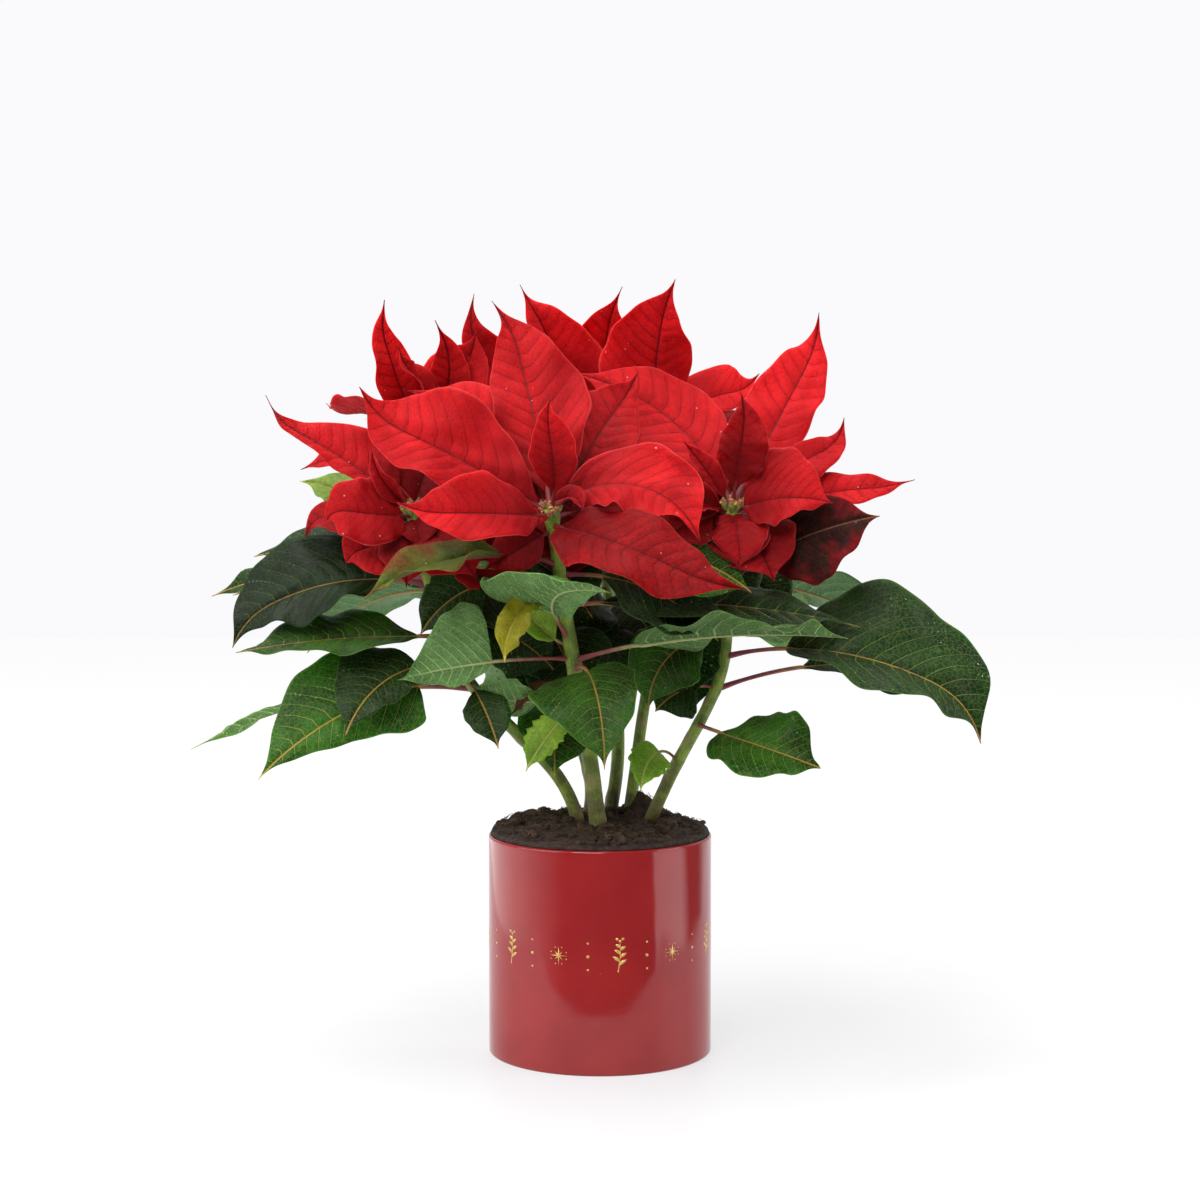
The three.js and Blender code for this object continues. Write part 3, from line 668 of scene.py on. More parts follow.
@dataclass(frozen=True)
class BudFinish(Finish):
    """The look of one part of the small flowers."""

    base: str
    tip: str
    roughness: float = 0.4

    def paint(self, graph: Graph) -> None:
        """Wires the nodes of the finish.

        Args:
            graph: the empty graph of its material.
        """
        run, _, _ = graph.parts(graph.vector("marks"))
        mottle = graph.use(SharedGroups.mottle(), {"Place": graph.vector("place"), "Scale": 0.6})
        run = graph.line(mottle["Cloud"], 0.25, run)
        colour = graph.mix(graph.step(run, 0.6, 1.05), self.base, self.tip)
        colour = graph.mix(graph.times(mottle["Grain"], 0.2), colour, "#e8e6b0")
        graph.close({
            "Base Color": colour, "Subsurface Weight": 0.2, "Subsurface Scale": 0.001,
            "Roughness": graph.line(mottle["Grain"], 0.2, self.roughness - 0.1)},
            mottle["Grain"], 0.08)


@dataclass(frozen=True)
class SoilFinish(Finish):
    """The look of moist potting mix."""

    dark: str
    light: str

    def paint(self, graph: Graph) -> None:
        """Wires the nodes of the finish.

        Args:
            graph: the empty graph of its material.
        """
        place, tint = graph.vector("place"), graph.number("tint")
        mottle = graph.use(SharedGroups.mottle(), {"Place": place, "Scale": 0.22})
        specks = graph.use(SharedGroups.specks(),
                           {"Place": place, "Scale": 0.7, "Amount": 0.08, "Size": 0.3})
        share = graph.times(mottle["Cloud"], mottle["Grain"])
        colour = graph.mix(share, self.dark, self.light)
        colour = graph.scaled(colour, graph.line(tint, 0.6, 1.0))
        colour = graph.mix(graph.times(specks["Mask"], 0.6), colour, "#7a5c3a")
        graph.close({"Base Color": colour, "Roughness": graph.line(mottle["Grain"], 0.3, 0.65)},
                    graph.plus(mottle["Grain"], mottle["Cloud"]), 1.1)


@dataclass(frozen=True)
class LacquerFinish(Finish):
    """The look of the glossy red pot, with the faint waves of a moulded wall."""

    name: str = "red lacquer"
    deep: str = "#8a1a1d"
    light: str = "#931f20"
    roughness: float = 0.07

    def paint(self, graph: Graph) -> None:
        """Wires the nodes of the finish.

        Args:
            graph: the empty graph of its material.
        """
        place = graph.vector("place")
        mottle = graph.use(SharedGroups.mottle(), {"Place": place, "Scale": 0.03})
        dust = graph.use(SharedGroups.specks(),
                         {"Place": place, "Scale": 0.16, "Amount": 0.06, "Size": 0.04})
        colour = graph.mix(mottle["Cloud"], self.deep, self.light)
        colour = graph.mix(graph.times(dust["Mask"], 0.4), colour, "#d9b9b4")
        waves = graph.noise(place, 0.035, 1.0)
        peel = graph.noise(place, 0.6, 2.0)
        height = graph.line(peel, 0.012, waves)
        rough = graph.line(mottle["Grain"], 0.05, self.roughness)
        graph.close({"Base Color": colour, "Roughness": rough, "Specular IOR Level": 0.5},
                    height, 0.35)


@dataclass(frozen=True)
class GoldFinish(Finish):
    """The look of the printed gold foil."""

    name: str = "gold foil"

    def paint(self, graph: Graph) -> None:
        """Wires the nodes of the finish.

        Args:
            graph: the empty graph of its material.
        """
        mottle = graph.use(SharedGroups.mottle(), {"Place": graph.vector("place"), "Scale": 0.4})
        colour = graph.mix(mottle["Cloud"], "#c9a050", "#e3c27a")
        rough = graph.line(mottle["Grain"], 0.15, 0.3)
        graph.close({"Base Color": colour, "Metallic": 0.55, "Roughness": rough},
                    mottle["Grain"], 0.01)


@dataclass(frozen=True)
class FloorFinish(Finish):
    """The look of a plain pale floor, with a glow that makes up for its dim far parts.

    For mirrored rays only, the floor paints a reflection of a studio as its own glow: past the soft
    edges of a painted table, dark in front, a painted soft light on the left and a narrow one on the
    right. A turn is in radians from the front to the right.
    """

    name: str = "pale floor"
    painted_table_front: Pair = (185.0, 193.0)   # from the plant's middle to the soft edges of the table painted for mirrored rays
    painted_table_side: Pair = (330.0, 390.0)
    glow_reach: Pair = (150.0, 1100.0)
    glow_power: Pair = (0.59, 0.7)
    painted_lamp_start: Pair = (0.92, 0.98)      # turns between which the narrow painted light comes up, in mirrored rays
    painted_lamp_end: Pair = (1.5, 1.75)
    painted_left_light: Pair = (-1.9, -0.5)
    painted_rear_light: Pair = (2.0, 2.3)
    power: float = 1.9                   # glow of both painted lights, which only mirrored rays see

    def paint(self, graph: Graph) -> None:
        """Wires the nodes of the finish.

        Args:
            graph: the empty graph of its material.
        """
        place = graph.vector("place")
        cloud = graph.noise(place, 0.02, 2.0)
        colour = graph.mix(cloud, "#88888a", "#8e8e90")
        far = graph.add("VectorMath", {0: place}, operation="LENGTH").outputs["Value"]
        glow = graph.step(far, *self.glow_reach, *self.glow_power)
        right, back, _ = graph.parts(place)
        ahead = graph.times(back, -1.0)
        beyond = graph.math("MAXIMUM", graph.step(ahead, *self.painted_table_front),
                            graph.step(graph.math("ABSOLUTE", right), *self.painted_table_side))
        turn = graph.math("ARCTAN2", right, ahead)
        lamp = graph.times(graph.step(turn, *self.painted_lamp_start),
                           graph.step(turn, *self.painted_lamp_end, 1.0, 0.0))
        left = graph.step(turn, *self.painted_left_light, self.power, 0.1)
        rear = graph.step(turn, *self.painted_rear_light)
        studio = graph.plus(graph.line(lamp, self.power, left), rear)
        # painted reflection: past the table's edges, mirrored rays see a black floor that glows with the
        # painted studio lights
        hidden = graph.times(graph.add("LightPath").outputs["Is Glossy Ray"], beyond)
        glow = graph.mix(hidden, glow, studio)
        colour = graph.mix(hidden, colour, "#000000")
        graph.close({"Base Color": colour, "Roughness": 0.5, "Emission Color": glow,
                     "Emission Strength": 1.0, "Specular IOR Level": 0.2})


class Tone(Enum):
    """The kinds of blade on the plant."""

    RED = "red bract"
    MAROON = "maroon leaf"
    TURNING = "turning leaf"
    DARK = "dark leaf"
    GREEN = "green leaf"
    YOUNG = "young leaf"
    YELLOW = "yellowing leaf"
    LIGHT = "pale leaf"
    DRIED = "dried leaf"

    @property
    def slot(self) -> str:
        """The record's slot that such a blade takes its finish from."""
        slots = {Tone.RED: "bract_red", Tone.MAROON: "leaf_turning",
                 Tone.TURNING: "leaf_turning", Tone.DARK: "leaf_dark",
                 Tone.LIGHT: "leaf_pale", Tone.DRIED: "leaf_turning"}
        return slots.get(self, "leaf_green")


BLADE_FINISHES = {
    Tone.RED: BladeFinish(
        "red bract", "#9c0f14", "#b9181c", "#5c060b", "#a81e22", "#740d13", "#c84040",
        vein_show=0.5, painted_valley_shade=0.4, roughness=0.6, through=0.5, glow=(1.0, 0.07, 0.05),
        relief=0.4, vein_width=0.3, shine=0.06, painted_base_shade=0.6),
    Tone.MAROON: BladeFinish(
        "maroon leaf", "#150c09", "#23160e", "#6c1216", "#5c3a2c", "#7a4c42", "#5b1216",
        roughness=0.6, through=0.15, blotch="#6e0c12", glow=(0.8, 0.3, 0.1), shine=0.06,
        midrib="#7a5238"),
    Tone.TURNING: BladeFinish(
        "turning leaf", "#33481a", "#5a6a28", "#86602e", "#55642e", "#8c7a4c", "#8a3c28",
        roughness=0.55, through=0.2, blotch="#6a3c1e", glow=(0.9, 0.6, 0.1), shine=0.08),
    Tone.DARK: BladeFinish(
        "dark leaf", "#0c1f0a", "#183410", "#76823a", "#5c7f50", "#8fa978", "#42602a",
        vein_show=0.6, painted_valley_shade=0.2, through=0.14, midrib="#a8803c"),
    Tone.GREEN: BladeFinish(
        "green leaf", "#143309", "#2b5a15", "#98a045", "#6b8c55", "#a3ba80", "#6b8a33",
        vein_show=0.66, painted_valley_shade=0.2, through=0.3, glow=(0.4, 1.0, 0.15), midrib="#b48a42"),
    Tone.YOUNG: BladeFinish(
        "young leaf", "#628c1e", "#97b83a", "#c8cf70", "#8eaa5c", "#c2d08c", "#95b340",
        vein_show=0.6, through=0.5, glow=(0.5, 1.0, 0.15)),
    Tone.LIGHT: BladeFinish(
        "pale leaf", "#1d3f15", "#33601f", "#8f9f4a", "#5a7d44", "#9fb87c", "#8aa860",
        vein_show=0.6, painted_valley_shade=0.2, through=0.25, glow=(0.4, 1.0, 0.15), relief=1.0,
        vein_width=0.75),
    Tone.YELLOW: BladeFinish(
        "yellowing leaf", "#7d7a16", "#a39a22", "#c9bd52", "#94902e", "#c4b860", "#6f5a1e",
        vein_show=0.5, through=0.5, glow=(0.9, 1.0, 0.1)),
    Tone.DRIED: BladeFinish(
        "dried leaf", "#3a2415", "#5c3d22", "#2c1a10", "#6a4a2e", "#4a3220", "#2a180e",
        roughness=0.7, through=0.05),
}

STALK_FINISHES = {
    Tone.RED: StalkFinish("bract stalk", "#7c1216", "#70060a"),
    Tone.MAROON: StalkFinish("maroon stalk", "#7c2832", "#661a20"),
    Tone.TURNING: StalkFinish("turning stalk", "#7c2832", "#84402c"),
    Tone.DARK: StalkFinish("dark leaf stalk", "#863440", "#a07c34"),
    Tone.GREEN: StalkFinish("green leaf stalk", "#8c3c40", "#a98c3c"),
    Tone.YOUNG: StalkFinish("young leaf stalk", "#8a4a3c", "#a9b45a"),
    Tone.YELLOW: StalkFinish("yellowing stalk", "#8a4a3c", "#b3a44c"),
    Tone.LIGHT: StalkFinish("pale leaf stalk", "#8a4240", "#a3b070"),
    Tone.DRIED: StalkFinish("dried stalk", "#4a3020", "#3c2818"),
}


# ---- leaves and bracts -------------------------------

# Rows along and columns across a blade: points, unit normals of the upper side, pattern
# coordinates, and the marks phase between side veins, share of the way to the margin and 1.
Layer = tuple[np.ndarray, np.ndarray, np.ndarray, np.ndarray]


@dataclass(frozen=True)
class Blade:
    """One leaf or bract with its stalk.

    heading and rise are the direction's angle in plan and over the horizontal, in degrees, and
    how much each has changed at the tip. width is twice the greatest half width on the left and
    right, seen from above with the tip ahead. lean turns the upper side to the front and aside
    to the right. A pair is for left and right, or in lean for base and tip. joins names the node
    that a small blade is part of; "" is its own node and "-" is none.
    """

    name: str
    tone: Tone
    start: float
    heading: Pair
    rise: Pair
    stalk: float
    length: float
    width: Pair
    lean: float | Pair
    aside: float = 0
    widest: float | Pair = 0.45
    point: float | Pair = 1.3
    fold: float | Pair = 8
    curl: float | Pair = 0
    joins: str = ""
    ripple: float = 1.6          # height of the waves at the margin
    waves: float = 2.3           # how many of them
    teeth: float = 0.0           # how far the margin comes out at each side vein
    hook: Pair = (0.0, 0.0)      # how much heading and rise change more at the very tip
    # painted shade below 0 and painted light above 0: how much darker or lighter the blade is drawn for how
    # it stands in the light
    tint: float = 0.0

    BEND_STEPS = 12
    GRAIN = 1.5                  # length of one row of faces
    COARSE_GRAIN = 2.3           # the same on a blade that stands for no node
    LEAST_HALF = 0.6             # half the width where the outline comes to a point
    THICKNESS = 0.42
    STALK_RADIUS = 1.15
    STALK_SIDES = 10
    GROOVE = (0.45, 0.9)         # depth and half width of the groove along the midrib
    QUILT = {Tone.RED: 0.09, Tone.LIGHT: 0.2}   # height of the puffs between veins, of a spacing
    USUAL_QUILT = 0.12

    @property
    def nodes(self) -> list[str]:
        """The nodes that the blade stands for."""
        return [] if self.joins == "-" else [self.joins or self.name]

    def line(self, stem: Curve) -> Curve:
        """The line of the stalk and the midrib.

        Args:
            stem: the curve of its stem.

        Returns:
            A curve from the middle of the stem to the blade's tip.
        """
        step = (self.stalk + self.length) / self.BEND_STEPS
        points = [stem.at_height(self.start)]
        for k in range(self.BEND_STEPS):
            share = (k + 0.5) / self.BEND_STEPS
            late = float(ease(share, 0.7, 1.0))
            turn = math.radians(self.heading[0] + self.heading[1] * share + self.hook[0] * late)
            lift = math.radians(self.rise[0] + self.rise[1] * share + self.hook[1] * late)
            way = np.array([math.cos(lift) * math.cos(turn), math.cos(lift) * math.sin(turn),
                            math.sin(lift)])
            points.append(points[-1] + way * step)
        return Curve(np.array(points))

    def spacing(self) -> float:
        """The distance between two side veins where they leave the midrib."""
        return 2.6 + 0.055 * self.length

    def reach(self, u: np.ndarray, side: int, rng: np.random.Generator) -> np.ndarray:
        """Half the width along the blade: a wedge at the base, then a drawn-out point.

        Args:
            u: the rows' shares of the length.
            side: 0 for left and 1 for right.
            rng: the blade's random draws.

        Returns:
            The reach of each row, in millimetres.
        """
        widest, point = pair(self.widest)[side], pair(self.point)[side]
        inner = np.clip(u, 1e-4, 1 - 1e-4)
        outline = ((inner / widest) ** (point * widest / (1 - widest))
                   * ((1 - inner) / (1 - widest)) ** point)
        first, second = rng.uniform(0, 1, 2)
        wobble = (0.035 * np.sin(2 * np.pi * (2.2 * u + first))
                  + 0.02 * np.sin(2 * np.pi * (5.1 * u + second)))
        comb = (u * self.length / self.spacing()) % 1
        tooth = self.teeth * (comb**1.6 - 0.4) * ease(u, 0.08, 0.25) * ease(-u, -0.92, -0.7)
        outline = outline * (1 - 0.6 * ease(u, 0.78, 0.95))
        least = self.LEAST_HALF * ease(-u, -1.0, -0.75) + 0.12
        return np.maximum(self.width[side] / 2 * outline * (1 + wobble + tooth), least)

    def surface(self, line: Curve) -> Layer:
        """Lays out the middle layer of the blade.

        Args:
            line: the line of its stalk and midrib.

        Returns:
            The layer, with both halves joined at the midrib.
        """
        rng = draws(self.name)
        grain = self.GRAIN if self.nodes else self.COARSE_GRAIN
        rows = int(np.clip(self.length / grain, 24, 84))
        columns = int(np.clip(max(self.width) / (2.1 * grain), 8, 20))
        base = self.stalk / (self.stalk + self.length)
        u = np.linspace(0, 1, rows)
        middle, along = line.at(base + (1 - base) * u), line.along(base + (1 - base) * u)
        up = self.upward(u, along)
        right = np.cross(along, up)
        t = np.linspace(0, 1, columns)
        v = 0.22 * t + 0.78 * t**2
        seed = float(rng.uniform(0, 400))
        halves = [self.half(side, u, v, middle, up, right * (1 if side else -1), seed, rng)
                  for side in (0, 1)]
        return tuple(np.concatenate([left[:, :0:-1], other], 1)
                     for left, other in zip(*halves))

    def half(self, side: int, u: np.ndarray, v: np.ndarray, middle: np.ndarray, up: np.ndarray,
             outward: np.ndarray, seed: float, rng: np.random.Generator) -> Layer:
        """The left or right half of the middle layer, from the midrib to the margin.

        Args:
            side: 0 for left and 1 for right.
            u: the rows' shares of the length.
            v: the columns' shares of the way to the margin.
            middle: the midrib's point at each row.
            up: the direction that the upper side faces at each row.
            outward: the direction away from the midrib at each row.
            seed: the third pattern coordinate, which sets the blade's pattern apart.
            rng: the blade's random draws.

        Returns:
            The half layer.
        """
        reach = self.reach(u, side, rng)
        fold, curl = pair(self.fold)[side], pair(self.curl)[side]
        angle = np.radians(fold + curl * (v[1:] + v[:-1]) / 2)
        out = np.concatenate([[0], np.cumsum(np.cos(angle) * np.diff(v))])
        rise = np.concatenate([[0], np.cumsum(np.sin(angle) * np.diff(v))])
        tilt = np.radians(fold * ease(v, 0, 0.1) + curl * v)
        normal = (up[:, None] * np.cos(tilt)[None, :, None]
                  - outward[:, None] * np.sin(tilt)[None, :, None])
        off = reach[:, None] * v[None]
        phase = (u[:, None] * self.length - 0.6 * off - 0.012 * off**2) / self.spacing()
        phase = phase + 0.3 * side * ease(v, 0.02, 0.22)[None]
        points = (middle[:, None] + outward[:, None] * (reach[:, None] * out)[..., None]
                  + up[:, None] * (reach[:, None] * rise)[..., None])
        points = points + normal * self.relief(u, v, off, phase, rng)[..., None]
        where = np.stack([np.broadcast_to(u[:, None] * self.length, off.shape),
                          off * (1 if side else -1), np.full(off.shape, seed)], -1)
        marks = np.stack([phase, np.broadcast_to(v[None], off.shape), np.ones(off.shape)], -1)
        return points, normal, where, marks

    def upward(self, u: np.ndarray, along: np.ndarray) -> np.ndarray:
        """The directions that the upper side faces, square to the blade's line.

        Args:
            u: shares of the blade's length.
            along: the line's direction at each of them.

        Returns:
            A unit direction for each.
        """
        base, tip = pair(self.lean)
        lean, aside = np.radians(base + (tip - base) * u), math.radians(self.aside)
        face = np.stack([np.full(len(u), math.sin(aside)), -np.sin(lean), np.cos(lean)], 1)
        return unit(face - np.einsum("ij,ij->i", face, along)[:, None] * along)

    def relief(self, u: np.ndarray, v: np.ndarray, off: np.ndarray, phase: np.ndarray,
               rng: np.random.Generator) -> np.ndarray:
        """How far the surface stands over a smooth one: puffed between veins, wavy at the margin.

        Args:
            u: the rows' shares of the length.
            v: the columns' shares of the way to the margin.
            off: the distance of each point from the midrib.
            phase: how many side veins lie between the base and each point.
            rng: the blade's random draws.

        Returns:
            The height at each point, in millimetres.
        """
        between = np.abs(np.sin(np.pi * phase)) ** 0.7
        room = ease(off, 0.3, 4.0) * (1 - v[None] ** 4)
        puff = self.QUILT.get(self.tone, self.USUAL_QUILT) * self.spacing() * between * room
        groove = -self.GROOVE[0] * np.exp(-(off / self.GROOVE[1]) ** 2)
        first, second, third = rng.uniform(0, 1, 3)
        wave = (np.sin(2 * np.pi * (self.waves * u + first))
                + 0.45 * np.sin(2 * np.pi * (2.1 * self.waves * u + second)))
        hold = ease(u, 0.0, 0.2) * ease(-u, -1.0, -0.8)
        swell = 0.5 * np.sin(2 * np.pi * (1.1 * u + third))[:, None] * v[None]
        small = min(1.0, self.length / 80)
        margin = (wave * hold)[:, None] * v[None] ** 2
        along = (u * self.length)[:, None]
        crease = np.sin(0.13 * along + 6 * first + 1.4 * np.sin(0.16 * off + 6 * second))
        dent = 0.45 * crease * ease(off, 0.0, 9.0) * hold[:, None]
        return puff + groove + small * self.ripple * (margin + swell * hold[:, None] + dent)

    def add_sheet(self, draft: Draft, line: Curve) -> None:
        """Adds the blade as one thin closed sheet, thinnest at its margin.

        Args:
            draft: the piece that it becomes part of.
            line: the line of the stalk and the midrib.
        """
        middle, normal, place, marks = self.surface(line)
        rows, columns = middle.shape[:2]
        half = self.THICKNESS / 2 * (1 - 0.55 * marks[..., 1:2] ** 2)
        count = rows * columns
        points = np.concatenate([(middle + normal * half).reshape(-1, 3),
                                 (middle - normal * half).reshape(-1, 3)])
        below = marks.copy()
        below[..., 2] = 0
        upper = net(rows, columns, False)
        faces = upper + [[corner + count for corner in face[::-1]] for face in upper]
        rim = ([row * columns for row in range(rows)]
               + [(rows - 1) * columns + k for k in range(1, columns)]
               + [row * columns + columns - 1 for row in range(rows - 2, -1, -1)]
               + list(range(columns - 2, 0, -1)))
        for here, after in zip(rim, rim[1:] + rim[:1]):
            faces.append([here, after, after + count, here + count])
        draft.add(points, faces, 0, np.concatenate([place.reshape(-1, 3)] * 2),
                  np.concatenate([marks.reshape(-1, 3), below.reshape(-1, 3)]), self.tint)

    def add_stalk(self, draft: Draft, line: Curve) -> None:
        """Adds the stalk, which runs on as the midrib under the blade.

        Args:
            draft: the piece that it becomes part of.
            line: the line of the stalk and the midrib.
        """
        base = self.stalk / (self.stalk + self.length)
        end = base + (1 - base) * 0.93
        rows = int(np.clip((self.stalk + self.length) / 3, 16, 48))
        shares = np.linspace(0.0, end, rows)
        u = np.clip((shares - base) / (1 - base), 0, 1)
        radius = self.STALK_RADIUS * min(1.0, 0.45 + self.length / 140)
        radii = radius * (1 + 0.5 * ease(-shares, -0.12, -0.01)) * (1 - 0.82 * u**0.6)
        along = line.along(shares)
        drop = (0.85 * radii + 0.25) * ease(u, 0.0, 0.06)
        middles = line.at(shares) - self.upward(u, along) * drop[:, None]
        points, faces, marks = tube(middles, along, radii, self.STALK_SIDES, (0.31, 0.9, 0.3))
        run = np.where(u > 0, 0.55 + 0.45 * u, 0.5 * shares / max(base, 0.01))
        marks[:, 0] = np.repeat(run, self.STALK_SIDES)
        draft.add(points, faces, 1, points, marks, self.tint)

    def build(self, stem: Curve) -> None:
        """Makes the blade's piece and puts it on the plant.

        Args:
            stem: the curve of its stem.
        """
        draft = Draft(self.name)
        line = self.line(stem)
        self.add_sheet(draft, line)
        self.add_stalk(draft, line)
        materials = [finishes[self.tone].material() for finishes in (BLADE_FINISHES, STALK_FINISHES)]
        place_piece(draft, materials, self.tone.slot, *self.nodes)


def bract(name: str, *sizes: float | Pair, **shape: float | Pair | str) -> Blade:
    """A red bract; after its name come a Blade's sizes and shape, in a Blade's order."""
    return Blade("bract_" + name, Tone.RED, *sizes, **shape)


# A tint below 0 paints shade on a blade that stands deep in the plant or under others; a tint above 0 paints
# light on a blade that stands in the light.
FRONT_BLADES = (
    bract("front_low_left", 291, (235, -62), (5, -6), 9, 79, (38, 42), 60,
          fold=12, curl=10, hook=(0, 24), tint=0.1),
    bract("front_low_right", 286, (288, 74), (1, -34), 9, 120, (44, 46), 53,
          widest=0.42, point=1.1, hook=(0, 24), tint=-1.8, ripple=2.6),
    bract("front_right", 295, (0, -52), (39, -98), 9, 88, (50, 40), 40,
          widest=0.46, point=1.1, curl=(30, 0), ripple=3.4),
    bract("front_inner", 295, (300, -110), (55, 35), 9, 52, (24, 26), 72,
          point=1.4, fold=15, curl=10, joins="flowers_front", hook=(30, 20)),
    bract("front_tall", 295, (110, 5), (64, -12), 9, 118, (42, 60), 78,
          widest=0.4, point=1.4, hook=(40, 0), tint=-0.5, ripple=2.2),
    bract("front_up_right", 292, (52, 0), (50, -14), 9, 94, (60, 44), 72,
          widest=0.4, point=1.35, hook=(-10, 20), tint=-0.7),
    bract("front_up_left", 292, (188, -38), (34, -14), 7, 114, (42, 64), 60,
          widest=0.5, point=1.2, curl=4, hook=(20, 40), ripple=2.4),
    bract("front_behind", 289, (120, 38), (52, -38), 9, 116, (34, 46), 66, widest=0.5, point=1.2),
    Blade("leaf_turning_left", Tone.TURNING, 265, (225, -58), (20, -56), 32, 80, (26, 28), 30,
          widest=0.5, point=1.2, tint=-0.5, fold=30, ripple=2.4),
    Blade("leaf_front_strip", Tone.GREEN, 253, (198, -22), (30, -50), 34, 46, (14, 20), -18,
          widest=0.5, fold=10, joins="stem_front"),
    Blade("leaf_front_dark", Tone.DARK, 250, (177, 8), (30, -92), 40, 46, (42, 30), 72),
    Blade("leaf_right_dark", Tone.DARK, 244, (346, 26), (6, -20), 18, 138, (42, 46), 24, point=1.2),
    Blade("leaf_front_pale", Tone.LIGHT, 225, (238, 88), (42, -48), 26, 78, (26, 80), -22,
          aside=12, widest=(0.35, 0.15), point=(1.1, 1.2), fold=(-20, 4), ripple=2.4),
    Blade("leaf_front_bright", Tone.YOUNG, 221, (200, 0), (25, 38), 10, 32, (20, 24), 53,
          widest=0.4, fold=25, joins="stem_front"),
    Blade("leaf_right_pale", Tone.LIGHT, 214, (325, 40), (18, -24), 38, 112, (42, 46), -20,
          widest=0.4, point=1.1, ripple=3.2, tint=-0.9),
    Blade("leaf_left_pale", Tone.LIGHT, 215, (215, -38), (6, -22), 46, 50, (66, 20), -84,
          widest=(0.22, 0.4), point=(1.6, 1.2), fold=4, ripple=2.6),
    Blade("leaf_front_low", Tone.GREEN, 209, (284, 0), (22, -112), 28, 64, (44, 66), 66,
          widest=0.3, tint=-0.7),
    Blade("leaf_front_under", Tone.LIGHT, 202, (195, -12), (-35, 70), 20, 38, (26, 26), -53,
          fold=6, joins="stem_front"),
    bract("front_cup_right", 294, (350, -60), (66, -130), 3, 25, (13, 12), 50,
          fold=24, joins="-"),
    bract("front_cup_left", 292, (238, -40), (4, -30), 3, 18, (10, 10), 60,
          fold=14, joins="-"),
    bract("front_shade_left", 284, (212, -30), (-24, -8), 6, 36, (26, 26), 62, joins="-", tint=-1.0),
    bract("front_shade_right", 290, (34, -20), (16, -14), 8, 74, (34, 38), 52, joins="-", tint=-0.9),
    bract("front_shade_far", 289, (158, 10), (14, -10), 8, 62, (34, 34), 55, joins="-", tint=-0.8),
    bract("front_backward", 290, (82, 10), (30, -44), 9, 96, (44, 44), 20, joins="-", tint=-0.3),
    Blade("leaf_front_under_bracts", Tone.DARK, 260, (350, 8), (6, -56), 22, 70, (46, 50), 44, joins="-"),
    Blade("leaf_front_beside", Tone.GREEN, 268, (350, 8), (22, -62), 44, 62, (28, 46), 62,
          joins="-", tint=0.2),
    Blade("leaf_front_curled", Tone.YELLOW, 252, (212, -16), (0, -96), 9, 46, (22, 18), 52,
          fold=26, joins="-", ripple=3.4, waves=3.2),
    Blade("leaf_front_dried", Tone.DRIED, 206, (200, -16), (-14, -30), 10, 30, (16, 12), 30,
          fold=30, joins="-", ripple=3.0),
    Blade("leaf_front_small", Tone.YOUNG, 193, (230, -35), (-28, -35), 14, 36, (18, 22), 53,
          widest=0.4, fold=10, joins="stem_front", teeth=0.3, tint=-1.0),
)

